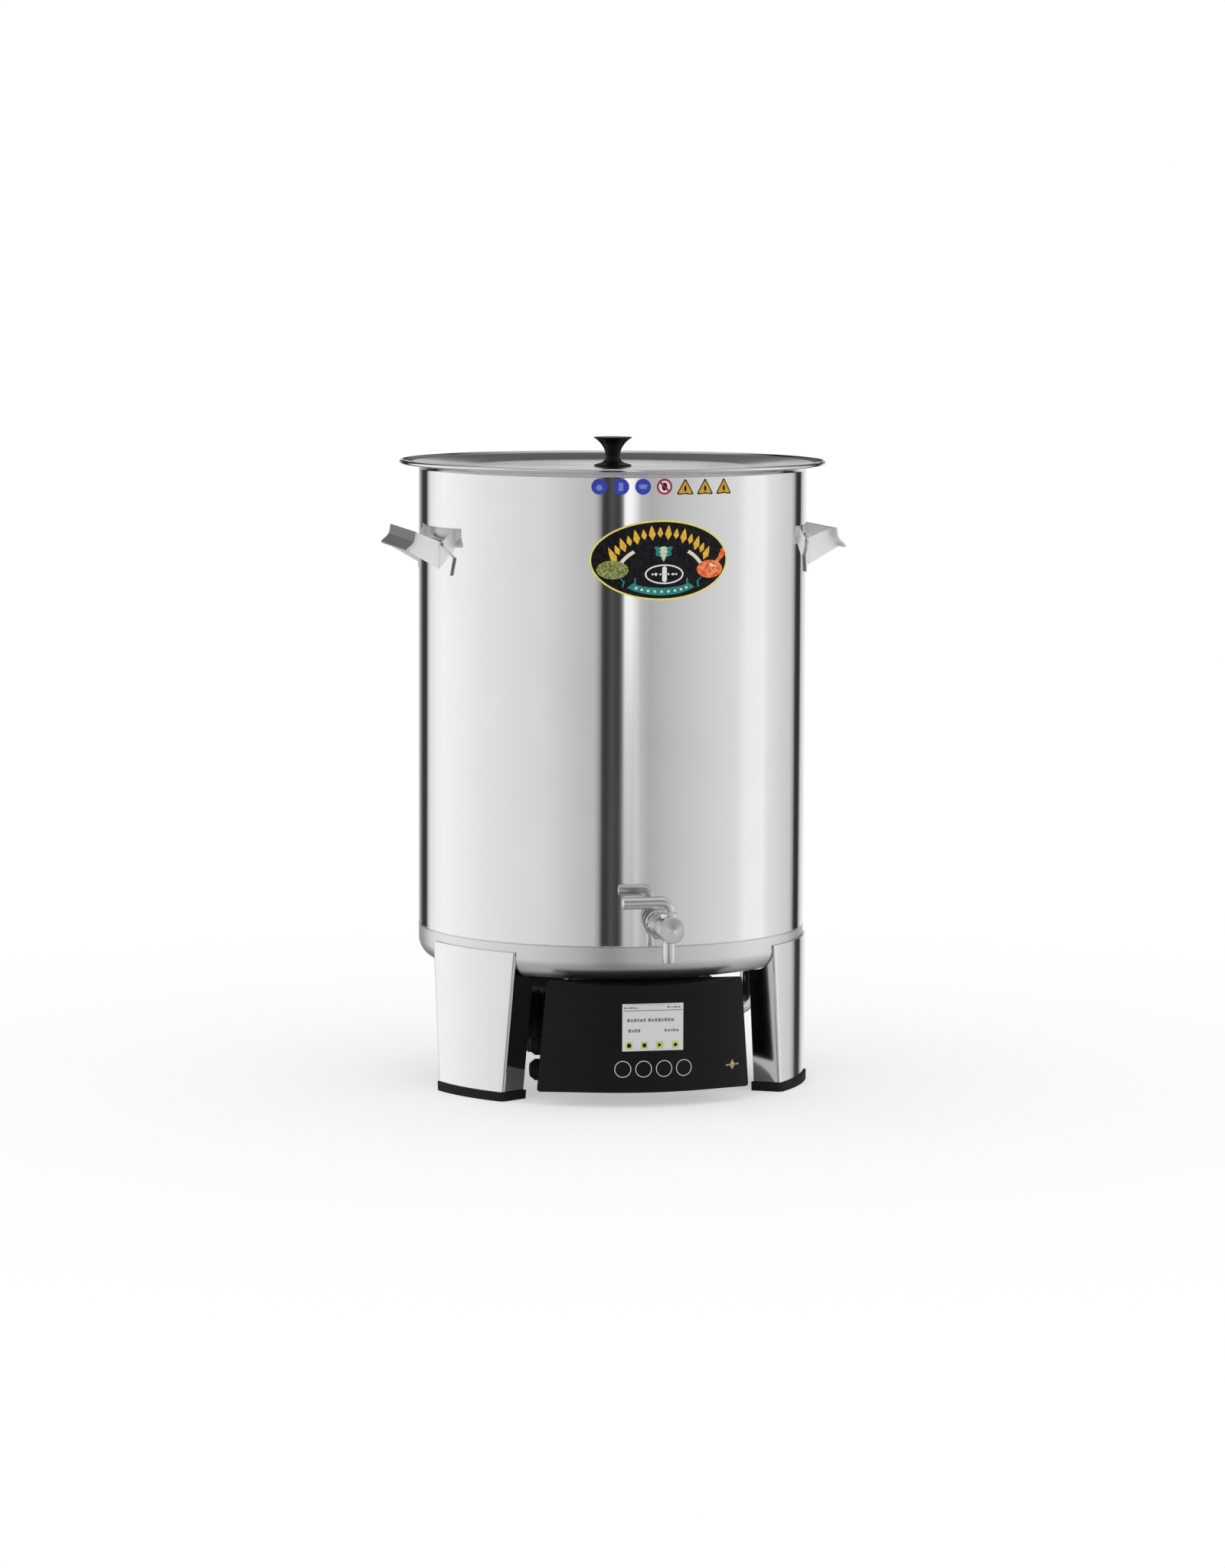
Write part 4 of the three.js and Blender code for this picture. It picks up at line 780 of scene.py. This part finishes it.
# pumps: each lies on a line from the axis, motor inwards
def make_pump(side, degrees):
    z, pipe_x = PUMP_Z, 102.0

    def lying(shape):
        return shape.right().move(z=z)

    def part(name, shape, node, material=PLASTIC, **look):
        show(f"pump_{name}", shape.turn(degrees), material, f"pump_{node}_{side}", **look)

    ribs = [p for x in (46, 58, 70) for p in ((27, x), (24.5, x + 0.5), (24.5, x + 3.5), (27, x + 4))]
    motor = turned([(0, 32), (22, 32), (27, 36), *ribs, (27, 92), (0, 92)], 0.6, 96)
    part(f"motor_{side}_case", lying(motor), "motor")
    cup = [(0, 92.35), (33, 92.35), (33, 112), (28, 112), (28, 96), (2, 96), (2, 110), (0, 110)]
    stub = tube(9, 7.2, z + 29, z + 44, 0.4, 48).move(x=pipe_x)
    part(f"volute_{side}_case", lying(turned(cup, 0.5, 96)) + stub, "volute")
    cover = [(7, 112.35), (33, 112.35), (33, 115), (31, 116.5), (11, 116.5), (11, 130), (7, 130)]
    part(f"cover_{side}_case", lying(turned(cover, 0.5, 96)), "cover")
    bolts = join(rod(2.4, 116.3, 118.3, 0.5, 24).move(*polar(28, 30 + 60 * i)) for i in range(6))
    show(f"pump_bolts_{side}", lying(bolts).turn(degrees), NICKEL, like=f"pump_cover_{side}")
    vane = [(5 + 18 * t, 5.0 * math.sin(t * 1.6) * t) for t in np.linspace(0, 1, 8)]
    vane = strip([[(x, y, h) for x, y in vane] for h in (99.0, 107.0)], 1.6)
    hub = [tube(24, 2.4, 98, 100, 0.4, 64), tube(6, 2.4, 98, 108, 0.4, 48)]
    part(f"impeller_{side}_wheel", lying(join([*hub, *[vane.turn(60 * i) for i in range(6)]])), "impeller")
    grips = [polar(15.4 if i % 2 else 17.0, 7.5 * i) for i in range(48)]
    bore = [circle(0, 0, 11.6, 40)]
    nut = plate(rounded(grips, 0.5, True, 2), 16.0, lambda s, t, d: (s, t, 121 + d), bore)
    part(f"union_{side}_nut", lying(nut), "union_nut", bevel=0.5, angle=40)
    bend, x_in = 14.0, 166.0
    corner = [(x, 0, y) for x, y in arc(x_in - bend, z + bend, bend, -90, 0, 6)]
    inlet = sweep([(130.35, 0, z), (140, 0, z), *corner, (x_in, 0, 105), (x_in, 0, TUBE_TOP_Z)], 9.0, 40, 5)
    part(f"inlet_{side}_pipe", inlet, "inlet_elbow", RIM, angle=40)
    low = z + 44 + GAP
    outlet = tube(9, 7.2, low, TUBE_TOP_Z, 0.3, 48) + hex_nut(23.0, 8.0, low, low + 15)
    part(f"outlet_{side}_pipe", outlet.move(x=pipe_x), "outlet_pipe", RIM, angle=35)


# tap: its pieces are turned about the barrel's line or about the spindle
def make_tap():
    z, r, face = TAP_Z, BARREL_R, TAP_FACE_R

    def part(name, shape, material, node=None, **look):
        show(f"tap_{name}", shape, material, node and f"tap_{node}", origin=(0.0, -SPINDLE_R, z), **look)

    def lying(shape):
        return shape.front().move(z=z)

    def upright(profile, radius, around):
        return turned(profile, radius, around).move(y=-SPINDLE_R)

    socket = turned([(5.2, 200.4), (11.5, 200.9), (11.5, 214), (5.2, 214)], 0.5, 96)
    part("socket_boss", lying(socket), TURNED, "socket")
    fillet = turned([(11.0, 200.2), (12.4, 200.5), (11.9, 201.0), (11.2, 202.0)], 0.2, 96)
    show("tap_socket_weld", lying(fillet), WELD, like="tap_socket")
    part("nut_hex", lying(hex_nut(27, 5.2, 214.35, 225)), TURNED, "nut")
    barrel = [(0, 225.35), (10.5, 225.35), (10.5, 229), (r, 231), (r, 234), (r - 0.6, 234.6),
              (r - 0.6, 236.4), (r, 237), (r, 257), (0, 257)]
    part("body_barrel", lying(turned(barrel, 0.5, 128)), TURNED, "body")
    tower = [(0, z), (8.4, z), (8.4, z + 15.4), (7.4, z + 16.4), (0, z + 16.4)]
    part("body_tower", upright(tower, 0.6, 96), TURNED_UP, like="tap_body")
    cap = [(0, 257.35), (r, 257.35), (r, face - 1, 0.8), (r - 1, face, 0.5), (1.8, face - 1.45, 0.3),
           (1.5, face - 1.9, 0.2), (0, face - 1.9)]
    part("end_face", lying(lathe(rounded(cap, 0.0, False), 128)), TURNED, "end_cap")
    spout = [(4.2, 152.5), (6.2, 152.5), (6.2, z - r - 1.2), (5.8, z - r - 0.6), (5.8, z - 9.85),
             (4.2, z - 9.85)]
    part("spout_tube", upright(spout, 0.4, 64), TURNED_UP, "spout")
    plug = [(0, z - 6.6), (6.1, z - 6.6), (6.1, z + 12.6), (3, z + 13), (3, z + 17.4), (0, z + 17.4)]
    part("plug_core", upright(plug, 0.3, 64), TURNED_UP, "plug")
    low, top, bend, length = z + 17.75, 213.5, 9.0, 48.0
    corner = [(x, height) for x, height in arc(-bend, top - bend, bend, 0, 90, 9) if height > low + 0.3]
    line = [(0, low), *corner, (-length / 2, top), (-length + 3, top), (-length, top)]
    radii = [(0, 5.9), (0.03, 6.1), (0.955, 6.1), (0.975, 5.9), (0.99, 5.3), (1, 4.3)]
    lever = sweep([(x, -SPINDLE_R, height) for x, height in line], radii, 48, 10)
    part("lever_bar", lever, LEVER, "lever", angle=50)


# control unit: bent front sheet, display, keys, housing and what is fixed to it
def make_control():
    back_r = PANEL_ARC_R - PANEL_SHEET
    arc_bend = on_wall(back_r, PANEL_ARC_Y)

    def bend(s, z, depth):
        """s is measured along the front face."""
        return arc_bend(s * back_r / PANEL_ARC_R, z, depth)

    def along(degrees):
        return math.radians(degrees) * PANEL_ARC_R

    def panel_half(z):
        share = (z - PANEL_LOW) / (PANEL_HIGH - PANEL_LOW)
        return along(PANEL_HALF_BOTTOM + (PANEL_HALF_TOP - PANEL_HALF_BOTTOM) * share)

    low, high = panel_half(PANEL_LOW), panel_half(PANEL_HIGH)
    outline = rounded([(-low, PANEL_LOW), (low, PANEL_LOW), (high, PANEL_HIGH), (-high, PANEL_HIGH)], 3.0)
    middle, reach = along(DISPLAY_TURN), DISPLAY_HALF + 0.5
    window = rounded(rectangle(middle - reach, DISPLAY_LOW - 0.4, middle + reach, DISPLAY_HIGH + 0.4), 0.8)
    key_turns = [KEY_FIRST + KEY_PITCH * i for i in range(4)]
    holes = [window, *[circle(along(degrees), KEY_Z, 9.3, 48) for degrees in key_turns]]
    sheet = plate(outline, PANEL_SHEET - 0.001, bend, holes, grid=3.5).turn(PANEL_TURN)
    show("control_panel_sheet", sheet, PANEL, "control_panel", bevel=0.4, angle=40)
    x, z = along(29.0), 38.0
    for name, mark in (("", [(x - 3.6, z), (x, z - 5.2), (x + 3.6, z), (x, z + 5.2)]),
                       ("_bar_1", rectangle(x - 8.5, z - 0.7, x - 4, z + 0.7)),
                       ("_bar_2", rectangle(x + 4, z - 0.7, x + 8.5, z + 0.7))):
        film = plate(mark, 0.05, lambda s, z, d: bend(s, z, PANEL_SHEET + d)).turn(PANEL_TURN)
        show(f"panel_ornament{name}", film, CREST, like="control_panel", angle=60)

    # the display: a dark frame behind a pale face, with plain bars and simple signs
    glass = box((-DISPLAY_HALF, -DISPLAY_FACE, DISPLAY_LOW), (DISPLAY_HALF, -177.5, DISPLAY_HIGH))
    frame_half = DISPLAY_HALF + 4
    bezel = box((-frame_half, -178.5, DISPLAY_LOW - 4), (frame_half, -173.5, DISPLAY_HIGH + 4))
    show("display_window", on_panel(glass, DISPLAY_TURN), SCREEN, "display", bevel=0.3)
    show("display_frame", on_panel(bezel, DISPLAY_TURN), PLASTIC, like="display", bevel=0.5)

    def on_glass(name, outlines, material, lift=0.03):
        films = [plate(mark, 0.04, lambda s, z, d: (s, -DISPLAY_FACE - lift - d, z)) for mark in outlines]
        show(name, on_panel(join(films), DISPLAY_TURN), material, like="display")

    marks = [rectangle(-30, 98.0, 30, 98.8)]
    for x, z, height, widths in (
        (-29.5, 100.4, 2.0, (2.4, 1.7, 2.8, 1.6, 2.2)),
        (14.5, 100.6, 1.6, (3.2, 2.2, 3.6, 2.4)),
        (-26.5, 87.0, 3.4, (3.0, 2.2, 2.8, 1.8, 3.2, 2.0)),
        (-5.0, 87.0, 3.4, (3.4, 2.0, 2.6, 3.0, 1.8, 2.8, 2.2, 3.2)),
        (-25.5, 76.4, 3.4, (2.8, 2.2, 2.4, 2.6)),
        (12.0, 76.6, 2.8, (2.4, 2.4, 1.2, 2.6, 2.8)),
    ):
        for i, width in enumerate(widths):
            marks.append(rectangle(x, z, x + width, z + height - (0.7 if i % 3 == 1 else 0.0)))
            x += width + 0.8
    on_glass("display_marks", marks, INK)
    places = (-24.4, -8.6, 7.2, 23.4)
    on_glass("display_icons", [rounded(rectangle(x - 3.6, 59.4, x + 3.6, 66.8), 0.6) for x in places], ICON)
    a, b, c, d = places
    signs = (circle(a, 63.1, 2.3, 24), rectangle(b - 1.9, 61.2, b + 1.9, 65.0),
             [(c - 1.6, 60.9), (c + 2.2, 63.1), (c - 1.6, 65.3)],
             [(d, 65.4), (d - 2.2, 62.9), (d, 60.8), (d + 2.2, 62.9)])
    on_glass("display_glyphs", signs, FIELD, 0.08)

    for i, degrees in enumerate(key_turns, 1):
        key = turned([(0, 181.0), (8.8, 181.0), (8.8, 184.8), (0, 184.62)], 0.5, 96).front()
        show(f"button_{i}_key", on_panel(key, degrees, KEY_Z), PANEL, f"button_{i}")
        ring = tube(8.5, 7.75, 184.6, 184.79, 0.03, 96).front()
        show(f"button_{i}_ring", on_panel(ring, degrees, KEY_Z), MARK, like=f"button_{i}")

    # the housing: floor, roof, two sides, back and two corner posts
    half, back, low, high, wall = 84.0, -100.0, 20.0, 118.0, 2.5
    front_r = back_r - 0.4
    edge = math.degrees(math.asin(half / front_r))
    curve = arc(0, PANEL_ARC_Y, front_r, -90 - edge, -90 + edge, 32)
    plan = rounded([*curve, (half, back, 5.0), (-half, back, 5.0)])
    case = prism(plan, low, low + wall) + prism(plan, high - wall, high)
    low, high = low + 0.5, high - 0.5
    for way in (-1, 1):
        x0, x1 = sorted((way * half, way * (half - wall)))
        case += box((x0, curve[0][1], low), (x1, back - 4.5, high))
    case += box((-half + 4, back - wall, low), (half - 4, back, high))
    for way in (-1, 1):
        case += tube(5.0, 2.6, low, high, 0.1, 48).move(way * (half - 5.0), back - 5.0)
    show("control_housing_case", case.turn(PANEL_TURN), PLASTIC, "control_housing", bevel=0.8, angle=40)

    gland = [(4.2, -8), (5.8, -8), (5.8, 0), (10, 0), (10, 6), (8.8, 6.6), (8.8, 12), (6.5, 17), (4.2, 17)]
    gland = turned(gland, 0.5, 48) + hex_nut(17.4, 8.0, 7.0, 11.6)
    gland = gland.swap("x", "z", "-y").move(y=back + GAP, z=74)
    show("mains_gland_body", gland.turn(PANEL_TURN), PLASTIC, "mains_gland")

    wall_x = -half - GAP
    sockets = box((wall_x - 3, -136, 16), (wall_x, -108, 66))
    cap = [(0, 2), (10, 2), (10, 7), (7.5, 8), (7.5, 11), (11, 12), (11, 18), (7, 23), (0, 24)]
    cap = turned(cap, 0.5, 48).swap("-z", "y", "x")
    for z in (28, 54):
        sockets += cap.move(wall_x, -122, z)
    sockets = sockets.turn(PANEL_TURN)
    show("accessory_sockets_caps", sockets, PLASTIC, "accessory_sockets", bevel=0.5, angle=40)

    low, high = 118 + GAP, BASE_Z - GAP
    bar = box((-72, -126, low), (72, -112, low + 2))
    for x in (-67, 67):
        bar += rod(5, low + 1, high, 0.3, 40).move(x, -119)
    show("control_bracket_bar", bar.turn(PANEL_TURN), NICKEL, "control_bracket", bevel=0.3)

    route = ((30, -90, 44), (30, -80, 44), (32, -66, 41), (38, -40, 30), (46, -14, 20), (53, 6, 18),
             (55.1, 14.5, 24), (55.1, 14.8, 34))
    for side, name in BOTH_SIDES:
        boot = turned([(0, 78), (4.2, 78), (6.4, 92), (8.5, 92.5), (8.5, 97), (0, 97)], 0.6, 48).front()
        cable = boot.move(side * 30, 0, 44) + sweep([(side * x, y, z) for x, y, z in route], 3.0, 20, 10)
        show(f"pump_cable_{name}_lead", cable.turn(PANEL_TURN), RUBBER, f"pump_cable_{name}", angle=50)

    slots = NODES["circuit_board"].data.materials
    slots.clear()
    slots.append(BOARD)


# label and stickers
def make_label():
    middle, around = LABEL_Z, on_wall(KETTLE_R)
    reach = KETTLE_R * math.sin(math.radians(LABEL_HALF))
    shift = KETTLE_R * math.radians(0.7)

    def bend(s, z, d):
        return around(s + shift, z, d)

    def oval(shrink, n=120):
        turns = ellipse(0, middle, reach - shrink, LABEL_TALL - shrink, n)
        return [(KETTLE_R * math.asin(x / KETTLE_R), z) for x, z in turns]

    def mark(name, outline, material, lift=0.62, holes=(), grid=None):
        decal(f"label_{name}", outline, material, "label_plate", bend, lift, holes, grid)

    def arch(degrees, wide, high):
        x, z = polar(1, degrees)
        return wide * x, middle - 16 + high * z

    def band(start, end, wide, high, thick, n=15):
        turns = np.linspace(start, end, n)
        inner = [arch(a, wide - thick, high - thick) for a in turns[::-1]]
        return [arch(a, wide, high) for a in turns] + inner

    border = plate(oval(0.0), 0.3, lambda s, z, d: bend(s, z, 0.3 + d), grid=5)
    show("label_plate_border", border, BORDER, "label_plate", angle=50)
    mark("field", oval(1.7), FIELD, 0.58, grid=5)

    # an arch of gold leaves and diamonds
    for i, degrees in enumerate(np.linspace(152, 31, 15)):
        x, z = arch(degrees, 56, 44)
        c, s = polar(1, (degrees - 90) * 0.45)
        size, half = ((9.6 if i == 0 else 7.6), 3.5) if i % 2 == 0 else (5.4, 2.9)
        leaf = ((-1, -0.25), (0, -1), (1, -0.25), (0.55, 0.45), (0, 1), (-0.55, 0.45))
        leaf = [(half * p, size * q) for p, q in leaf]
        mark(f"leaf_{i + 1}", [(x + p * c - q * s, z + p * s + q * c) for p, q in leaf], GOLD)
    for name, start, end in (("left", 156, 128), ("right", 52, 24)):
        mark(f"band_{name}", band(start, end, 47, 33, 3.6), PALE)

    # a cone between two leaves
    for side, name in BOTH_SIDES:
        leaf = [(2 + side * x, middle + z) for x, z in ((1, 13), (10, 14), (7.5, 9), (8.5, 5), (2, 3))]
        mark(f"hop_leaf_{name}", rounded(leaf, 0.8), TEAL)
    for row, (z, half) in enumerate(((11.5, 4.2), (8.4, 4.6), (5.2, 3.6), (2.2, 2.2))):
        scale = [(2 + half * x, middle + z + rise)
                 for x, rise in ((-1, 0), (0, -3.6), (1, 0), (0.5, 2.2), (-0.5, 2.2))]
        mark(f"hop_cone_{row + 1}", rounded(scale, 0.5), CONE, 0.66 + 0.02 * row)

    # a small oval with a diamond and a bar
    low = middle - 14.0
    mark("small_oval", ellipse(3, low, 20, 9.8), WHITE, holes=[ellipse(3, low, 18.4, 8.4)[::-1]])
    mark("diamond", ellipse(3, low, 11, 8.2, 4), WHITE)
    mark("bar", rounded(rectangle(-12.5, low - 1.9, 18.5, low + 1.9), 0.8), FIELD, 0.66)
    for i in range(7):
        dot = ellipse(3 + (i - 3) * 4.1, low, 1.3, 1.3, 4)
        mark(f"bar_dot_{i + 1}", dot, PALE, 0.70)

    # two patches at the sides
    mark("patch_left", ellipse(-49.5, middle - 9.5, 16, 9.3), LEAF, grid=4)
    mark("patch_right", ellipse(52, middle - 9.5, 14.5, 9.0), AMBER, grid=4)
    for name, material, corners in (("sweep", AMBER, ((49, -2), (67.5, 12), (69.8, 4), (58, -6))),
                                    ("gleam", PALE, ((42, -9), (54, -4), (62, -8), (53, -7)))):
        mark(f"patch_{name}", [(x, middle + z) for x, z in corners], material, 0.66)

    # a ribbon with folded tails
    mark("ribbon", band(216, 324, 43, 19, 7.4, 25), TEAL, 0.66)
    for side, name in BOTH_SIDES:
        tail = ((26, 18), (43, 17), (39, 21.5), (40, 27), (26, 26))
        mark(f"ribbon_tail_{name}", [(side * x, middle - z) for x, z in tail], TEAL)
    for i in range(9):
        x, z = arch(229 + i * 10.3, 39.3, 15.4)
        mark(f"ribbon_dot_{i + 1}", rectangle(x - 1.3, z - 1.1, x + 1.3, z + 1.1), PALE, 0.70)

    # seven round and three-cornered stickers under the rim
    def stick(name, outline, material, lift, holes=()):
        decal(f"sticker_{name}", outline, material, "kettle_wall", around, lift, holes, 3)

    for i in range(1, 8):
        s, z = KETTLE_R * math.radians(-17.3 + 37.6 * (i - 1) / 6), 625.0 if i < 5 else 624.2
        if i < 4:
            stick(i, circle(s, z, 8.0, 48), BLUE, 0.02)
            mask = ((-4.5, 1.6), (0, 2.6), (4.5, 1.6), (3.2, -2.2), (-3.2, -2.2))
            figures = (circle(s, z - 1, 3.0, 24), rectangle(s - 2.6, z - 4, s + 2.0, z + 4.2),
                       [(s + x, z + y) for x, y in mask])
            stick(f"{i}_mark", figures[i - 1], SKY, 0.07)
        elif i == 4:
            stick(i, circle(s, z, 8.0, 48), WHITE, 0.02)
            stick(f"{i}_mark", ellipse(s, z, 2.8, 4.0, 24), FIELD, 0.05)
            stick(f"{i}_ring", circle(s, z, 8.0, 48), RED, 0.07, [circle(s, z, 6.0, 48)[::-1]])
            bar = ((-4.9, 3.4), (-3.4, 4.9), (4.9, -3.4), (3.4, -4.9))
            stick(f"{i}_bar", [(s + x, z + y) for x, y in bar], RED, 0.09)
        else:
            for name, half, low, top, radius, material, lift in (
                (f"{i}", 9.6, 7.4, 9.2, 1.2, FIELD, 0.02), (f"{i}_face", 7.6, 6.2, 6.9, 0.8, YELLOW, 0.07),
            ):
                triangle = [(s - half, z - low), (s + half, z - low), (s, z + top)]
                stick(name, rounded(triangle, radius), material, lift)
            stick(f"{i}_mark", ellipse(s, z - 1.4, 1.3, 3.0, 16), FIELD, 0.09)


make_kettle()
for side, degrees in LEG_TURNS.items():
    make_leg(side, degrees)
for side, degrees in HANDLE_TURNS.items():
    make_handle(side, degrees)
make_lid()
make_inside()
make_heater()
for side, degrees in PUMP_TURNS.items():
    make_pump(side, degrees)
make_tap()
make_control()
make_label()


# ---- stage, light and camera -------------------------------------------------------------------
FLOOR_HALF, SCREEN_R = 14.0, 6.5  # metres
# Brightness of the studio round the object: (degrees from the camera's side, brightness).
STUDIO = [
    (-180, 0.92), (-172, 0.62), (-164, 0.42), (-158, 0.22), (-154, 0.05), (-144, 0.03), (-141, 0.50),
    (-137, 0.84), (-128, 0.98), (-118, 1.04), (-100, 0.98), (-80, 0.89), (-60, 0.82), (-40, 0.76),
    (-20, 0.61), (-10, 0.56), (-7.2, 0.36), (-5.4, 0.05), (-3, 0.04), (0, 0.09), (2, 0.06), (4.4, 0.05),
    (6.0, 0.22), (7.4, 1.14), (11, 1.14), (14, 0.86), (16.5, 0.56), (22, 0.47), (30, 0.54), (40, 0.61),
    (60, 0.72), (78, 0.80), (86, 0.96), (100, 1.00), (106, 0.85), (120, 0.74), (132, 0.66), (137, 0.40),
    (140, 0.04), (148.5, 0.03), (152, 0.50), (158, 0.80), (170, 0.90), (180, 0.92),
]
# How the light changes with height in metres: everywhere, beside the central dark stripe, and at the far side.
# SIDES holds (degrees, brightness) above 1.9 m, and FLOOR_SHADE (radius, brightness) under the object.
HEIGHTS = [-5.0, -2.2, -1.3, -0.9, -0.75, -0.6, -0.4, -0.22, 0.0, 0.65, 0.75, 1.15, 1.2, 1.6, 1.68, 2.1, 2.4,
           4.0, 6.0]
EVERYWHERE = [(-5.0, 0.45), (-2.2, 0.7), (-1.3, 1.0), (1.9, 1.0), (2.4, 0.0), (4.0, 0.0), (6.0, 0.55)]
SIDES = [(50, 0.34), (75, 0.75), (110, 0.75), (135, 0.34)]
LIGHT_BAR = [(-0.9, 0.42), (-0.75, 0.46), (-0.6, 0.52), (-0.4, 0.64), (-0.22, 0.97), (6.0, 1.0)]
FAR_SIDE = [(0.65, 1.0), (0.75, 0.9), (1.15, 0.86), (1.2, 0.14), (2.1, 0.12), (2.4, 0.6)]
SCREEN_TOP, SCREEN_BOTTOM = 0.8, 0.45
FLOOR_SHADE = [(0.001, 0.05), (0.17, 0.06), (0.198, 0.10)]


def stage(name, points, faces, material):
    mesh = bpy.data.meshes.new(name)
    mesh.from_pydata(points, [], faces)
    mesh.materials.append(material)
    piece = bpy.data.objects.new(name, mesh)
    bpy.context.scene.collection.objects.link(piece)
    return piece


def make_floor():
    """A pale floor that passes into an even white away from the object."""
    made, tree, shader = new_material("pale_floor", Roughness=0.9, Specular_IOR_Level=0.0,
                                      Base_Color=(0.97, 0.97, 0.97, 1))
    distance = add(tree, "VectorMath", {0: position(tree)}, operation="LENGTH").outputs["Value"]
    fade = {0: distance, 1: 0.2, 2: 1.5, 3: 0.45, 4: 1.0}
    far = add(tree, "MapRange", fade, interpolation_type="SMOOTHSTEP")
    glow = add(tree, "Emission", {"Strength": 1.0})
    both = add(tree, "MixShader", {0: far.outputs[0], 1: shader.outputs[0], 2: glow.outputs[0]})
    tree.links.new(both.outputs[0], tree.nodes["Material Output"].inputs["Surface"])
    corners = rectangle(-FLOOR_HALF, -FLOOR_HALF, FLOOR_HALF, FLOOR_HALF)
    stage("floor", [(*p, 0) for p in corners], [(0, 1, 2, 3)], made).visible_glossy = False


def glow_at(local, z):
    """Brightness of the screen at a direction from the camera's side and a height."""
    def between(pairs, at):
        return float(np.interp(at, *zip(*pairs)))

    height = between(EVERYWHERE, z)
    if z > 1.9:
        height = max(height, between(SIDES, abs(local)))
    beside = between([(5.0, 0), (7.0, 1), (12.0, 1), (16.0, 0)], local)
    far = between([(125, 0), (140, 1)], abs(local))
    value = between(STUDIO, local) * height * (1 - beside + beside * between(LIGHT_BAR, z))
    return value * (1 - far + far * between(FAR_SIDE, z))


def make_studio(towards):
    """A tall round screen that only reflections see, brighter and darker in upright bands."""
    around, rows, spokes = 720, len(HEIGHTS), 48
    points, faces, light = [], [], []

    def put(r, degrees, z, value):
        """A point of the screen; 0 degrees is straight in front of the kettle's axis."""
        x, y = polar(r, degrees - 90)
        points.append((x, AXIS_Y * MM + y, z))
        light.append(value)

    for i in range(around):
        degrees = 360.0 * i / around
        local = (degrees - towards + 180) % 360 - 180
        for z in HEIGHTS:
            put(SCREEN_R, degrees, z, glow_at(local, z))
        here, after = rows * i, rows * ((i + 1) % around)
        faces += [(here + k - 1, here + k, after + k, after + k - 1) for k in range(1, rows)]
        faces += [(here + rows - 1, rows * around, after + rows - 1), (here, after, rows * around + 1)]
    put(0.0, 0.0, HEIGHTS[-1], SCREEN_TOP)
    put(0.0, 0.0, HEIGHTS[0], SCREEN_BOTTOM)
    first = len(points)
    for r, value in FLOOR_SHADE:
        for i in range(spokes):
            put(r, 360 * i / spokes, 0.001, value)
    faces += [tuple(first + i for i in face) for face in bands(len(FLOOR_SHADE), spokes)]

    made = bpy.data.materials.new("studio_screen")
    made.use_nodes = True
    tree = made.node_tree
    tree.nodes.clear()
    value = add(tree, "Attribute", attribute_name="brightness").outputs["Fac"]
    glow = add(tree, "Emission", {"Strength": value})
    add(tree, "OutputMaterial", {"Surface": glow.outputs[0]})
    made.cycles.emission_sampling = "NONE"
    screen = stage("studio_screen", points, faces, made)
    shade = screen.data.attributes.new("brightness", "FLOAT", "POINT")
    shade.data.foreach_set("value", np.array(light, np.float32))
    for kind in ("camera", "diffuse", "transmission", "shadow", "volume_scatter"):
        setattr(screen, "visible_" + kind, False)


CAMERA_TURN, CAMERA_YAW, CAMERA_PITCH, CAMERA_ROLL = -13.5, -0.012, 6.09, 0.24
CAMERA_D, CAMERA_Z, CAMERA_LENS, CAMERA_SENSOR = 5430.0, 885.4, 120.56, 36.0
make_floor()
make_studio(CAMERA_TURN)

world = bpy.data.worlds.new("studio")
world.use_nodes = True
world.node_tree.nodes["Background"].inputs["Color"].default_value = (1, 1, 1, 1)
world.node_tree.nodes["Background"].inputs["Strength"].default_value = 1.0
bpy.context.scene.world = world

camera_data = bpy.data.cameras.new("camera")
camera_data.lens, camera_data.sensor_width = CAMERA_LENS, CAMERA_SENSOR
camera_data.clip_start, camera_data.clip_end = 0.1, 60.0
camera = bpy.data.objects.new("camera", camera_data)
bpy.context.scene.collection.objects.link(camera)
x, y = polar(CAMERA_D, CAMERA_TURN - 90)
camera.matrix_world = (
    Matrix.Translation(Vector((x, y + AXIS_Y, CAMERA_Z)) * MM)
    @ Matrix.Rotation(math.radians(CAMERA_TURN + CAMERA_YAW), 4, "Z")
    @ Matrix.Rotation(math.radians(90 - CAMERA_PITCH), 4, "X")
    @ Matrix.Rotation(math.radians(CAMERA_ROLL), 4, "Z")
)
bpy.context.scene.camera = camera
bpy.context.scene.view_settings.view_transform = "Standard"
